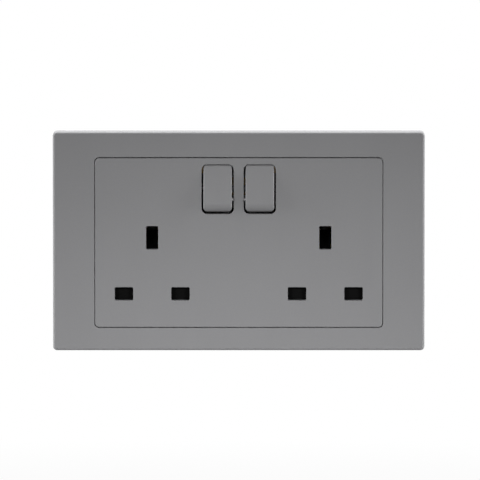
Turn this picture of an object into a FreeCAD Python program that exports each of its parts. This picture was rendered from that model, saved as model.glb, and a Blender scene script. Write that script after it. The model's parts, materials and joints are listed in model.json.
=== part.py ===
import FreeCAD, Part
import math
import os

# British twin switched socket outlet with a clip-on surround, in millimetres.
# +X is right, +Z is up and the face looks along -Y. The origin is the centre of the wall plane.

Vector = FreeCAD.Vector

# Surround
PLATE_DEPTH = 9.5
PLATE_CORNER = 2.4
PLATE_EDGE = 0.9
FRAME_FACE = 2.0
FRAME_WALL = 1.8
RIM_THICKNESS = 1.2
RIM_DEPTH = 3.0
RIB_THICKNESS = 1.0
RIB_DEPTH = 2.4
RIB_PLACES = (-52.0, -24.0, 24.0, 52.0)
HOOK_SPREAD = 38.0
HOOK_WIDTH = 8.0
HOOK_THICKNESS = 1.2
HOOK_BARB = 0.9
HOOK_BARB_LENGTH = 1.8
NOTCH_WIDTH = 12.0
NOTCH_DEPTH = 1.4

# Panel that carries the pin holes
PANEL_LAP = 1.45
PANEL_CORNER = 2.0
PANEL_GAP = 0.2
PANEL_DROP = 0.45
PANEL_FACE = 2.2
PANEL_WALL = 1.6
PANEL_EDGE = 0.35
WINDOW_EDGE = 0.3

# Pin pattern of the outlet
OUTLET_PITCH = 68.0
LINE_PIN_PITCH = 22.2
PIN_ROW_DROP = 22.2
EARTH_RISE = 2.05
LINE_HOLE = (7.2, 4.8)
EARTH_HOLE = (4.8, 8.8)
HOLE_CORNER = 0.5
HOLE_EDGE = 0.25
COLLAR_WALL = 1.0
COLLAR_LENGTH = 2.1
LINE_PIN_LENGTH = 17.7
EARTH_PIN_LENGTH = 22.7

# Rocker switches
ROCKER_PITCH = 16.54
SWITCH_MARGIN = 0.53
ROCKER_HOLE_WIDTH = 12.64
ROCKER_HOLE_HEIGHT = 19.54
ROCKER_HOLE_CORNER = 2.1
ROCKER_GAP = 0.48
ROCKER_TRAVEL = 14.0
ROCKER_PIVOT_DEPTH = 4.0
ROCKER_STAND = 0.95
ROCKER_END_ROUND = 2.0
ROCKER_SIDE_ROUND = 0.5
ROCKER_WALL = 1.2
ROCKER_CROWN = 1.8
ROCKER_SKIRT = 1.5
TRUNNION_RADIUS = 1.3
TRUNNION_LENGTH = 1.5
RUNNING_GAP = 0.05
CHEEK_DEPTH = 4.3
STEM_RADIUS = 2.5
STEM_REACH = 3.5
PLUNGER_RADIUS = 1.55
PLUNGER_GAP = 0.15
PLUNGER_BACK = 0.9
GATE_NIB = 0.3
GATE_NIB_DROP = 3.56

# Tilting contact arms
ARM_TRAVEL = 12.0
ARM_WIDTH = 5.0
ARM_THICKNESS = 0.8
ARM_STAND = 1.0
ARM_UPPER = 8.9
ARM_LOWER = 5.5
ARM_EAR = 1.8
PINTLE_RADIUS = 0.8
PINTLE_LENGTH = 1.4
CONTACT_REACH = 7.2
CONTACT_RADIUS = 1.4
CONTACT_HEIGHT = 0.7
CONTACT_DOME = 4.0
CONTACT_GAP = 0.06
CRADLE_SETBACK = 0.18
CRADLE_RISE = 2.0
CRADLE_EAR = 0.8
CRADLE_GAP = 0.3

# Pressed brass strips
STRIP = 0.8
LEAF = 0.7
STRIP_CLEARANCE = 1.8
LAYER_GAP = 2.0
RAIL_WIDTH = 4.0
EARTH_RAIL_WIDTH = 5.0
NEUTRAL_RAIL_DROP = 15.6
LINE_CLIP_WIDTH = 5.6
EARTH_CLIP_WIDTH = 6.4
CLIP_ROOT = 2.3
CLIP_PINCH = 1.65
CLIP_MOUTH = 2.5
CLIP_FLARE_LENGTH = 1.7
LINE_CLIP_DEPTH = 9.7
EARTH_CLIP_DEPTH = 7.1
RISER_WIDTH = 4.0
RISER_FOOT_GAP = 0.1
RISER_JOG_Z = 12.0
RISER_JOG_X = 18.0
TAB_WIDTH = 7.0
EARTH_PAD_MARGIN = 2.0
PIN_WELL_FIT = 0.1

# Terminals
TERMINAL_WIDTH = 8.0
TERMINAL_HEIGHT = 9.0
TERMINAL_DEPTH = 8.0
TERMINAL_CORNER = 0.6
CABLE_BORE = 2.1
CABLE_BORE_DEPTH = 3.6
CLAMP_RADIUS = 1.6
CLAMP_HEAD_RADIUS = 2.6
CLAMP_HEAD_HEIGHT = 1.6
CLAMP_BACKOFF = 0.3
CLAMP_TIP_GAP = 0.1
SPIGOT_RADIUS = 1.8
BAY_WALL = 1.4
BAY_FIT = 0.3
BAY_FLOOR = 0.8
TROUGH_WIDTH = 6.0

# Housing behind the wall plane
HOUSING_HEIGHT = 64.0
HOUSING_DEPTH = 22.0
HOUSING_WALL = 2.0
HOUSING_CORNER = 3.0
HOUSING_EDGE = 1.0
CLIP_ROOM = 7.9
PILLAR_MARGIN = 0.8
TUBE_RADIUS = 3.6
BOSS_RADIUS = 3.2
CASE_SCREW_RADIUS = 1.45
CASE_SCREW_HEAD = 2.8
CASE_SCREW_HEAD_HEIGHT = 1.8
CASE_SCREW_BITE = 6.2
CASE_SCREW_RECESS = 0.2
UPPER_SCREW_INSET = 6.6
LOWER_SCREW_INSET = 6.4
LOWER_SCREW_X = 11.5

# Shutters
SLIDE_GAP = 0.3
SHUTTER_THICKNESS = 1.6
SHUTTER_MARGIN = 1.0
SHUTTER_EDGE = 0.5
SHUTTER_STEM = 12.0
SHUTTER_TRAVEL = 6.0
PRONG_RISE = 7.2
FORK_SLOT = 5.4
FORK_DROP = 0.4
RAMP_WIDTH = 4.2
RAMP_OVERRUN = 0.7
RAMP_DEPTH = 7.2
RAMP_THICKNESS = 1.7
RAMP_ROOT = 2.7
GUIDE_WALL = 1.2
GUIDE_RISE = 12.0
LIP_WIDTH = 0.8
LIP_THICKNESS = 0.8
SPRING_SLOT = 4.8
SPRING_SEAT_DROP = 15.4
SHUTTER_SPRING_RADIUS = 1.8
SHUTTER_SPRING_WIRE = 0.45
SHUTTER_SPRING_TURNS = 6
SPRING_POST_RADIUS = 0.9
SPRING_POST_LENGTH = 3.0
PLUNGER_SPRING_RADIUS = 1.45
PLUNGER_SPRING_WIRE = 0.4
PLUNGER_SPRING_TURNS = 3

# Steel yoke and its fixings
YOKE_OVERHANG = 6.7
YOKE_SIDE_INSET = 6.0
YOKE_END_INSET = 5.0
YOKE_THICKNESS = 1.2
YOKE_CORNER = 3.0
YOKE_WINDOW_MARGIN = 3.0
YOKE_FLANGE = 2.0
YOKE_FLANGE_LENGTH = 50.0
LUG_WIDTH = 12.0
LUG_HEIGHT = 4.3
LUG_CLEARANCE = 1.5
LUG_WINDOW_START = 0.7
BOX_LUG_ROOM = 7.3
BOX_SCREW_RADIUS = 1.75
BOX_SCREW_LENGTH = 25.0
BOX_SCREW_HEAD = 3.3
BOX_SCREW_HEAD_HEIGHT = 2.2
BOX_SCREW_HEAD_ROOM = 0.55
SLOT_WIDTH = 4.0
SLOT_LENGTH = 7.0
BOX_SCREW_NECK = 1.45
BOX_SCREW_TIP = 0.6
DRIVE_SLOT = 0.9
DRIVE_SLOT_SHARE = 0.5
HEAD_ROUND_SHARE = 0.3
STRAP_GAP = 0.6
STRAP_LAP = 4.2
RIVET_RADIUS = 1.05
RIVET_HEAD = 1.8

# Widths, from the outlets out to the housing, the standard 120.6 box screw pitch and the 146 plate
HOUSING_WIDTH = OUTLET_PITCH + LINE_PIN_PITCH + 2 * CLIP_ROOM
BOX_SCREW_PITCH = HOUSING_WIDTH + 2 * BOX_LUG_ROOM
PANEL_WIDTH = BOX_SCREW_PITCH - 2 * (BOX_SCREW_HEAD + BOX_SCREW_HEAD_ROOM)
YOKE_WIDTH = BOX_SCREW_PITCH + 2 * YOKE_OVERHANG
PLATE_WIDTH = YOKE_WIDTH + 2 * YOKE_SIDE_INSET

# Heights, from the housing out to the 86 plate
PANEL_HEIGHT = HOUSING_HEIGHT + 2 * PANEL_LAP
WINDOW_RISE = PANEL_DROP + PANEL_GAP + RIM_THICKNESS
YOKE_HEIGHT = PANEL_HEIGHT + 2 * (WINDOW_RISE + LUG_CLEARANCE + YOKE_THICKNESS)
PLATE_HEIGHT = YOKE_HEIGHT + 2 * YOKE_END_INSET

# Places worked out from the sizes above
FRONT = -PLATE_DEPTH
PANEL_BACK = FRONT + PANEL_FACE
PANEL_Z = -PANEL_DROP
EARTH_Z = PANEL_Z + EARTH_RISE
ROW_Z = EARTH_Z - PIN_ROW_DROP
ROCKER_Z = HOUSING_HEIGHT / 2 - SWITCH_MARGIN - ROCKER_WALL - ROCKER_HOLE_HEIGHT / 2
ROCKER_Y = FRONT + ROCKER_PIVOT_DEPTH
YOKE_FRONT = -YOKE_THICKNESS
COLLAR_END = PANEL_BACK + COLLAR_LENGTH
SHUTTER_FRONT = COLLAR_END + SLIDE_GAP
SHUTTER_BACK = SHUTTER_FRONT + SHUTTER_THICKNESS
SHUTTER_MID = (SHUTTER_FRONT + SHUTTER_BACK) / 2
BACK_STRIP = FRONT + LINE_PIN_LENGTH + STRIP_CLEARANCE
RISER_Y = BACK_STRIP - LAYER_GAP - STRIP
BUSBAR_Y = RISER_Y - CRADLE_SETBACK
ARM_Y = BUSBAR_Y - CRADLE_RISE
TERMINAL_Y = BACK_STRIP + STRIP + BAY_FLOOR
CABLE_Y = TERMINAL_Y + CABLE_BORE_DEPTH
OUTLETS = (-OUTLET_PITCH / 2, OUTLET_PITCH / 2)
SWITCHES = (-ROCKER_PITCH / 2, ROCKER_PITCH / 2)
SIDES = ("left", "right")
PANEL_FLOOR_Z = PANEL_Z - PANEL_HEIGHT / 2 + PANEL_WALL
SPRING_SEAT_Z = EARTH_Z - SPRING_SEAT_DROP
NEUTRAL_RAIL_Z = EARTH_Z - NEUTRAL_RAIL_DROP
WING_HALF = LINE_PIN_PITCH / 2 + LINE_HOLE[0] / 2 + SHUTTER_EDGE
CONTACT_Z = ROCKER_Z + CONTACT_REACH * math.cos(math.radians(ARM_TRAVEL / 2))
EARTH_TERMINAL_Z = ROCKER_Z
NEUTRAL_TERMINAL_Z = -ROCKER_Z
UPPER_SCREW = (HOUSING_WIDTH / 2 - UPPER_SCREW_INSET, HOUSING_HEIGHT / 2 - UPPER_SCREW_INSET)
LOWER_SCREW = (LOWER_SCREW_X, LOWER_SCREW_INSET - HOUSING_HEIGHT / 2)
CASE_SCREWS = [(side * x, z) for x, z in (UPPER_SCREW, LOWER_SCREW) for side in (-1, 1)]
WINDOW_EDGE_X = YOKE_WINDOW_MARGIN - HOUSING_WIDTH / 2
STRAP_X = WINDOW_EDGE_X + STRAP_GAP + STRIP
RIVET_X = WINDOW_EDGE_X - STRAP_LAP / 2
EARTH_PAD = EARTH_HOLE[1] + 2 * EARTH_PAD_MARGIN


def block(x, y, z):
    """Box between the low and high value given for each axis."""
    return Part.makeBox(x[1] - x[0], y[1] - y[0], z[1] - z[0], Vector(x[0], y[0], z[0]))


def span(centre, width):
    """Low and high value of a width about its centre."""
    return (centre - width / 2, centre + width / 2)


def slab(size, corner, y, centre=(0.0, 0.0)):
    """Rectangle with rounded corners in the XZ plane, extruded between two Y values."""
    half_x = size[0] / 2
    half_z = size[1] / 2
    low_x, high_x = centre[0] - half_x, centre[0] + half_x
    low_z, high_z = centre[1] - half_z, centre[1] + half_z
    bend = corner * (1 - math.sqrt(0.5))
    edges = []
    corners = (
        ((high_x, high_z - corner), (high_x - bend, high_z - bend), (high_x - corner, high_z)),
        ((low_x + corner, high_z), (low_x + bend, high_z - bend), (low_x, high_z - corner)),
        ((low_x, low_z + corner), (low_x + bend, low_z + bend), (low_x + corner, low_z)),
        ((high_x - corner, low_z), (high_x - bend, low_z + bend), (high_x, low_z + corner)),
    )
    for index, (start, middle, end) in enumerate(corners):
        points = [Vector(x, y[0], z) for x, z in (start, middle, end)]
        edges.append(Part.Arc(*points).toShape())
        following = corners[(index + 1) % 4][0]
        edges.append(Part.LineSegment(points[2], Vector(following[0], y[0], following[1])).toShape())
    return Part.Face(Part.Wire(edges)).extrude(Vector(0, y[1] - y[0], 0))


def side_profile(points, x):
    """Outline given as (y, z) points, extruded between two X values."""
    outline = Part.makePolygon([Vector(x[0], y, z) for y, z in points + points[:1]])
    return Part.Face(outline).extrude(Vector(x[1] - x[0], 0, 0))


def rod_x(radius, x, y, z):
    """Cylinder along X between two values."""
    return Part.makeCylinder(radius, x[1] - x[0], Vector(x[0], y, z), Vector(1, 0, 0))


def rod_y(radius, y, x, z):
    """Cylinder along Y between two values."""
    return Part.makeCylinder(radius, y[1] - y[0], Vector(x, y[0], z), Vector(0, 1, 0))


def rod_z(radius, z, x, y):
    """Cylinder along Z between two values."""
    return Part.makeCylinder(radius, z[1] - z[0], Vector(x, y, z[0]), Vector(0, 0, 1))


def joined(shapes):
    """One solid out of pieces that meet, with the joints between them cleaned away."""
    return shapes[0].multiFuse(shapes[1:]).removeSplitter()


def edges_at(shape, y, keep):
    """Edges that lie in one plane across Y and whose middle passes the test."""
    found = []
    for edge in shape.Edges:
        flat = all(abs(vertex.Point.y - y) < 1e-6 for vertex in edge.Vertexes)
        if flat and keep(edge.CenterOfMass):
            found.append(edge)
    return found


def inside(point, centre, size):
    """True if a point lies within a rectangle in the XZ plane."""
    return abs(point.x - centre[0]) < size[0] / 2 and abs(point.z - centre[1]) < size[1] / 2


def coil(radius, wire, turns, length):
    """Compression spring along +Z from the origin, with a square section of wire."""
    middle = radius - wire / 2
    path = Part.makeHelix((length - wire) / turns, length - wire, middle)
    half = wire / 2
    corners = [(-half, -half), (half, -half), (half, half), (-half, half), (-half, -half)]
    section = Part.makePolygon([Vector(middle + a, 0, b) for a, b in corners])
    spring = Part.Wire(path).makePipeShell([section], True, True)
    spring.translate(Vector(0, 0, half))
    return spring


def pin_holes(outlet_x):
    """Place and size of the three pin holes of one outlet."""
    line = LINE_PIN_PITCH / 2
    return [
        ((outlet_x, EARTH_Z), EARTH_HOLE),
        ((outlet_x - line, ROW_Z), LINE_HOLE),
        ((outlet_x + line, ROW_Z), LINE_HOLE),
    ]


def grown(size, margin):
    """Size of a rectangle with a margin added on all sides."""
    return (size[0] + 2 * margin, size[1] + 2 * margin)


def surround_hook(x, side):
    """Leg with a barb that snaps into a lug of the yoke, at the top or bottom."""
    inner = YOKE_HEIGHT / 2 + SLIDE_GAP
    barb_front = YOKE_FRONT - LUG_HEIGHT + LUG_WINDOW_START + SLIDE_GAP * 2
    barb_back = barb_front + HOOK_BARB_LENGTH
    leg_front = FRONT + FRAME_FACE
    points = [
        (leg_front, inner + HOOK_THICKNESS),
        (leg_front, inner),
        (barb_front, inner),
        (barb_front, inner - HOOK_BARB),
        (barb_back, inner),
        (barb_back, inner + HOOK_THICKNESS),
    ]
    return side_profile([(y, side * z) for y, z in points], span(x, HOOK_WIDTH))


def outer_frame():
    """Clip-on surround: a shallow tray with a window for the panel."""
    frame = slab((PLATE_WIDTH, PLATE_HEIGHT), PLATE_CORNER, (FRONT, 0))
    frame = frame.makeFillet(PLATE_EDGE, edges_at(frame, FRONT, lambda point: True))
    hollow = (PLATE_WIDTH - 2 * FRAME_WALL, PLATE_HEIGHT - 2 * FRAME_WALL)
    frame = frame.cut(slab(hollow, PLATE_CORNER / 2, (FRONT + FRAME_FACE, 1)))
    window = grown((PANEL_WIDTH, PANEL_HEIGHT), PANEL_GAP)
    face_back = FRONT + FRAME_FACE
    rim_y = (face_back, face_back + RIM_DEPTH)
    rim = slab(grown(window, RIM_THICKNESS), PANEL_CORNER + RIM_THICKNESS, rim_y, (0, PANEL_Z))
    pieces = [frame, rim]
    for side in (-1, 1):
        rib_z = sorted((side * hollow[1] / 2, PANEL_Z + side * window[1] / 2))
        for x in RIB_PLACES:
            pieces.append(block(span(x, RIB_THICKNESS), (face_back, face_back + RIB_DEPTH), rib_z))
        for x in (-HOOK_SPREAD, HOOK_SPREAD):
            pieces.append(surround_hook(x, side))
    frame = joined(pieces)
    frame = frame.cut(slab(window, PANEL_CORNER + PANEL_GAP, (FRONT - 1, 0), (0, PANEL_Z)))
    window_edges = edges_at(frame, FRONT, lambda point: inside(point, (0, PANEL_Z), grown(window, 0.5)))
    frame = frame.makeFillet(WINDOW_EDGE, window_edges)
    notch_z = sorted((-PLATE_HEIGHT / 2 - 1, -PLATE_HEIGHT / 2 + FRAME_WALL + 1))
    return frame.cut(block(span(0, NOTCH_WIDTH), (-NOTCH_DEPTH, 1), notch_z))


def rocker_bearing(x):
    """Rim round one rocker opening, deep enough to hold the trunnions."""
    size = grown((ROCKER_HOLE_WIDTH, ROCKER_HOLE_HEIGHT), ROCKER_WALL)
    depth = (PANEL_BACK, PANEL_BACK + CHEEK_DEPTH)
    return slab(size, ROCKER_HOLE_CORNER + ROCKER_WALL, depth, (x, ROCKER_Z))


def shutter_guides(outlet_x):
    """Two walls with lips that keep a shutter against the collars as it slides."""
    pieces = []
    lip_front = SHUTTER_BACK + SLIDE_GAP
    low = PANEL_FLOOR_Z
    for side in (-1, 1):
        face = WING_HALF + SLIDE_GAP
        wall_x = sorted((outlet_x + side * face, outlet_x + side * (face + GUIDE_WALL)))
        lip_x = sorted((outlet_x + side * (face - LIP_WIDTH), outlet_x + side * face))
        pieces.append(block(wall_x, (PANEL_BACK, lip_front + LIP_THICKNESS), (low, ROW_Z + GUIDE_RISE)))
        pieces.append(block(lip_x, (lip_front, lip_front + LIP_THICKNESS), (low, ROW_Z + GUIDE_RISE)))
    post_z = (PANEL_FLOOR_Z, PANEL_FLOOR_Z + SPRING_POST_LENGTH)
    pieces.append(rod_z(SPRING_POST_RADIUS, post_z, outlet_x, SHUTTER_MID))
    return pieces


def socket_front():
    """Panel moulding with pin holes, collars, rocker bearings, shutter guides and screw bosses."""
    size = (PANEL_WIDTH, PANEL_HEIGHT)
    shell = slab(size, PANEL_CORNER, (FRONT, YOKE_FRONT), (0, PANEL_Z))
    shell = shell.makeFillet(PANEL_EDGE, edges_at(shell, FRONT, lambda point: True))
    hollow = grown(size, -PANEL_WALL)
    shell = shell.cut(slab(hollow, PANEL_CORNER / 2, (PANEL_BACK, 1), (0, PANEL_Z)))
    pieces = [shell]
    pieces += [rocker_bearing(x) for x in SWITCHES]
    for x in OUTLETS:
        pieces += shutter_guides(x)
        for centre, hole in pin_holes(x):
            collar = grown(hole, COLLAR_WALL)
            pieces.append(slab(collar, HOLE_CORNER + COLLAR_WALL, (PANEL_BACK, COLLAR_END), centre))
    for x, z in CASE_SCREWS:
        pieces.append(rod_y(BOSS_RADIUS, (PANEL_BACK, 0), x, z))
    front = joined(pieces)
    openings = []
    for x in OUTLETS:
        for centre, hole in pin_holes(x):
            openings.append(slab(hole, HOLE_CORNER, (FRONT - 1, COLLAR_END + 1), centre))
    for x in SWITCHES:
        hole = (ROCKER_HOLE_WIDTH, ROCKER_HOLE_HEIGHT)
        openings.append(slab(hole, ROCKER_HOLE_CORNER, (FRONT - 1, 0), (x, ROCKER_Z)))
    for x, z in CASE_SCREWS:
        openings.append(rod_y(CASE_SCREW_RADIUS, (-CASE_SCREW_BITE - SLIDE_GAP, 1), x, z))
    bearing_half = ROCKER_PITCH / 2 + ROCKER_HOLE_WIDTH / 2 + ROCKER_WALL + 1
    openings.append(rod_x(TRUNNION_RADIUS + RUNNING_GAP, (-bearing_half, bearing_half), ROCKER_Y, ROCKER_Z))
    front = front.cut(openings[0].multiFuse(openings[1:]))
    inner = grown(size, -PANEL_WALL)
    mouths = edges_at(front, FRONT, lambda point: inside(point, (0, PANEL_Z), inner))
    return front.makeFillet(HOLE_EDGE, mouths)


def rounded_front(half, front, back, corner, across):
    """Flat-backed profile with its two front corners rounded, across X or along Z, as a face."""
    bend = corner * (1 - math.sqrt(0.5))
    points = [
        (-half, back), (-half, front + corner), (-half + bend, front + bend), (-half + corner, front),
        (half - corner, front), (half - bend, front + bend), (half, front + corner), (half, back),
    ]
    if across:
        vectors = [Vector(a, y, 0) for a, y in points]
    else:
        vectors = [Vector(0, y, a) for a, y in points]
    edges = [
        Part.LineSegment(vectors[0], vectors[1]).toShape(),
        Part.Arc(vectors[1], vectors[2], vectors[3]).toShape(),
        Part.LineSegment(vectors[3], vectors[4]).toShape(),
        Part.Arc(vectors[4], vectors[5], vectors[6]).toShape(),
        Part.LineSegment(vectors[6], vectors[7]).toShape(),
        Part.LineSegment(vectors[7], vectors[0]).toShape(),
    ]
    return Part.Face(Part.Wire(edges))


def rocker_cap():
    """Cap of the rocker about its pivot: flat face, rounded ends and sides, open back."""
    width = ROCKER_HOLE_WIDTH - 2 * ROCKER_GAP
    height = ROCKER_HOLE_HEIGHT - 2 * ROCKER_GAP
    crest = -ROCKER_PIVOT_DEPTH - ROCKER_STAND
    back = -ROCKER_SKIRT
    from_side = rounded_front(height / 2, crest, back, ROCKER_END_ROUND, False)
    from_side.translate(Vector(-width / 2, 0, 0))
    from_above = rounded_front(width / 2, crest, back, ROCKER_SIDE_ROUND, True)
    from_above.translate(Vector(0, 0, -height / 2))
    front_view = slab((width, height), ROCKER_HOLE_CORNER - ROCKER_GAP, (crest, back))
    cap = from_side.extrude(Vector(width, 0, 0)).common(from_above.extrude(Vector(0, 0, height)))
    cap = cap.common(front_view)
    room = grown((width, height), -ROCKER_WALL)
    return cap.cut(slab(room, ROCKER_HOLE_CORNER / 2, (crest + ROCKER_CROWN, back + 1)))


def rocker(inner_side):
    """Rocker about its pivot, with trunnions, the plunger stem and a moulding gate mark."""
    half = ROCKER_HOLE_WIDTH / 2 - ROCKER_GAP
    crown_back = -ROCKER_PIVOT_DEPTH - ROCKER_STAND + ROCKER_CROWN
    pieces = [rocker_cap()]
    for side in (-1, 1):
        cheek_x = sorted((side * half, side * (half - ROCKER_WALL)))
        pin_x = sorted((side * (half - ROCKER_WALL), side * (half + TRUNNION_LENGTH)))
        cheek_half = TRUNNION_RADIUS + ROCKER_WALL
        pieces.append(block(cheek_x, (crown_back, 0), span(0, 2 * cheek_half)))
        pieces.append(rod_x(cheek_half, cheek_x, 0, 0))
        pieces.append(rod_x(TRUNNION_RADIUS, pin_x, 0, 0))
    pieces.append(rod_y(STEM_RADIUS, (crown_back, STEM_REACH), 0, 0))
    nib_y = -ROCKER_PIVOT_DEPTH + ROCKER_GAP
    nib_foot = Vector(inner_side * half, nib_y, -GATE_NIB_DROP)
    pieces.append(Part.makeCone(GATE_NIB, GATE_NIB / 3, GATE_NIB, nib_foot, Vector(inner_side, 0, 0)))
    bore = rod_y(PLUNGER_RADIUS + 2 * RUNNING_GAP, (crown_back, STEM_REACH + 1), 0, 0)
    return joined(pieces).cut(bore)


def plunger():
    """Domed plunger about the rocker pivot, reaching to the face of the contact arm."""
    tip = ARM_Y - ARM_STAND - ROCKER_Y - PLUNGER_GAP
    dome = tip - PLUNGER_RADIUS
    shank = rod_y(PLUNGER_RADIUS, (PLUNGER_BACK, dome), 0, 0)
    ball = Part.makeSphere(PLUNGER_RADIUS, Vector(0, dome, 0))
    return joined([shank, ball])


def plunger_spring():
    """Spring between the crown of the rocker and the plunger."""
    seat = -ROCKER_PIVOT_DEPTH - ROCKER_STAND + ROCKER_CROWN
    spring = coil(PLUNGER_SPRING_RADIUS, PLUNGER_SPRING_WIRE, PLUNGER_SPRING_TURNS, PLUNGER_BACK - seat)
    spring.rotate(Vector(0, 0, 0), Vector(1, 0, 0), -90)
    spring.translate(Vector(0, seat, 0))
    return spring


def placed(shape, angle, x, y, z):
    """Shape turned about +X at its own origin and moved to its place."""
    shape.rotate(Vector(0, 0, 0), Vector(1, 0, 0), angle)
    shape.translate(Vector(x, y, z))
    return shape


def at_rocker(shape, x):
    """Piece of a switched-off rocker, whose upper half is pressed in."""
    return placed(shape, -ROCKER_TRAVEL / 2, x, ROCKER_Y, ROCKER_Z)


def at_arm(shape, x):
    """Piece of an open contact arm, whose upper end stands forward."""
    return placed(shape, ARM_TRAVEL / 2, x, ARM_Y, ROCKER_Z)


def switch_arm():
    """Tilting arm about its pintles, with ears folded back at both sides."""
    plate_y = (-ARM_STAND, -ARM_STAND + ARM_THICKNESS)
    middle = (ARM_UPPER - ARM_LOWER) / 2
    pieces = [slab((ARM_WIDTH, ARM_UPPER + ARM_LOWER), ARM_WIDTH / 4, plate_y, (0, middle))]
    for side in (-1, 1):
        ear_x = sorted((side * (ARM_WIDTH / 2 - ARM_THICKNESS), side * ARM_WIDTH / 2))
        pin_x = sorted((side * (ARM_WIDTH / 2 - ARM_THICKNESS), side * (ARM_WIDTH / 2 + PINTLE_LENGTH)))
        pieces.append(block(ear_x, (plate_y[0], 0), span(0, 2 * ARM_EAR)))
        pieces.append(rod_x(PINTLE_RADIUS + ARM_THICKNESS / 2, ear_x, 0, 0))
        pieces.append(rod_x(PINTLE_RADIUS, pin_x, 0, 0))
    hole = rod_y(CONTACT_RADIUS / 2, (plate_y[0] - 1, plate_y[1] + 1), 0, CONTACT_REACH)
    return joined(pieces).cut(hole)


def moving_contact():
    """Rivet on the back of an arm, with its shank through the arm."""
    back = -ARM_STAND + ARM_THICKNESS
    head = rod_y(CONTACT_RADIUS, (back, back + CONTACT_HEIGHT), 0, CONTACT_REACH)
    shank = rod_y(CONTACT_RADIUS / 2, (-ARM_STAND, back), 0, CONTACT_REACH)
    return joined([head, shank])


def fixed_contact(x):
    """Domed rivet on a live strip, just clear of the closed arm."""
    closed = math.radians(ARM_TRAVEL / 2)
    rivet_back = -ARM_STAND + ARM_THICKNESS + CONTACT_HEIGHT
    meeting = ARM_Y + rivet_back * math.cos(closed) + CONTACT_REACH * math.sin(closed) + CONTACT_GAP
    head = rod_y(CONTACT_RADIUS, (meeting, RISER_Y), x, CONTACT_Z)
    dome = Part.makeSphere(CONTACT_DOME, Vector(x, meeting + CONTACT_DOME, CONTACT_Z))
    shank = rod_y(CONTACT_RADIUS / 2, (RISER_Y, RISER_Y + STRIP), x, CONTACT_Z)
    return joined([head.common(dome), shank])


def clip(depth, width, across):
    """Two sprung leaves standing forward from the back strip, flared at the mouth."""
    root = BACK_STRIP
    mouth = root - depth
    pinch = mouth + CLIP_FLARE_LENGTH
    leaves = []
    for side in (-1, 1):
        outline = [
            (root, side * CLIP_ROOT),
            (pinch, side * CLIP_PINCH),
            (mouth, side * CLIP_MOUTH),
            (mouth, side * (CLIP_MOUTH + LEAF)),
            (pinch, side * (CLIP_PINCH + LEAF)),
            (root, side * (CLIP_ROOT + LEAF)),
        ]
        leaves.append(side_profile(outline, span(0, width)))
    for leaf in leaves:
        if across:
            leaf.rotate(Vector(0, 0, 0), Vector(0, 1, 0), 90)
    return leaves


def line_clip(x):
    """Leaves and base of a live or neutral contact."""
    pieces = clip(LINE_CLIP_DEPTH, LINE_CLIP_WIDTH, False)
    half = CLIP_ROOT + LEAF
    pieces.append(block(span(0, LINE_CLIP_WIDTH), (BACK_STRIP, BACK_STRIP + STRIP), (-half, half)))
    for piece in pieces:
        piece.translate(Vector(x, 0, ROW_Z))
    return pieces


def strip(points, width, y):
    """Flat strip through a chain of (x, z) points, with square turns."""
    pieces = []
    for (x0, z0), (x1, z1) in zip(points, points[1:]):
        x_range = (min(x0, x1) - width / 2, max(x0, x1) + width / 2)
        z_range = (min(z0, z1) - width / 2, max(z0, z1) + width / 2)
        pieces.append(block(x_range, (y, y + STRIP), z_range))
    return pieces


def live_contact(outlet_x, switch_x):
    """Live clip of one outlet, with its riser to the fixed contact of its switch."""
    x = outlet_x + LINE_PIN_PITCH / 2
    jog_x = math.copysign(RISER_JOG_X, switch_x)
    foot_z = ROW_Z + CLIP_ROOT + RISER_WIDTH / 2 + RISER_FOOT_GAP
    path = [(x, foot_z), (x, RISER_JOG_Z), (jog_x, RISER_JOG_Z), (jog_x, CONTACT_Z), (switch_x, CONTACT_Z)]
    contact = joined(line_clip(x) + strip(path, RISER_WIDTH, RISER_Y))
    return contact.cut(rod_y(CONTACT_RADIUS / 2, (RISER_Y, RISER_Y + STRIP), switch_x, CONTACT_Z))


def neutral_bar():
    """Strip with both neutral clips and a tab under the neutral terminal."""
    pieces = []
    y = (BACK_STRIP, BACK_STRIP + STRIP)
    ends = [x - LINE_PIN_PITCH / 2 for x in OUTLETS]
    for x in ends:
        pieces += line_clip(x)
        pieces.append(block(span(x, LINE_CLIP_WIDTH), y, (ROW_Z, NEUTRAL_RAIL_Z)))
    pieces += strip([(x, NEUTRAL_RAIL_Z) for x in ends], RAIL_WIDTH, BACK_STRIP)
    tab_z = (NEUTRAL_TERMINAL_Z - TAB_WIDTH / 2, NEUTRAL_RAIL_Z)
    pieces.append(block(span(0, TAB_WIDTH), y, tab_z))
    return joined(pieces)


def earth_bar():
    """Strip with both earth clips, pierced for the pin tips, and a tab to each earth terminal."""
    y = (BACK_STRIP, BACK_STRIP + STRIP)
    pieces = []
    for x in OUTLETS:
        leaves = clip(EARTH_CLIP_DEPTH, EARTH_CLIP_WIDTH, True)
        for leaf in leaves:
            leaf.translate(Vector(x, 0, EARTH_Z))
        pieces += leaves
        pieces.append(block(span(x, 2 * (CLIP_ROOT + EARTH_PAD_MARGIN)), y, span(EARTH_Z, EARTH_PAD)))
        pieces.append(block(span(x, TAB_WIDTH), y, (EARTH_Z, EARTH_TERMINAL_Z + TAB_WIDTH / 2)))
    pieces.append(block((STRAP_X, OUTLETS[1]), y, span(EARTH_Z, EARTH_RAIL_WIDTH)))
    bar = joined(pieces)
    slot = grown((2 * CLIP_ROOT, EARTH_HOLE[1]), -PIN_WELL_FIT)
    for x in OUTLETS:
        bar = bar.cut(slab(slot, HOLE_CORNER, (y[0] - PIN_WELL_FIT, y[1] + 1), (x, EARTH_Z)))
    return bar


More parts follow.
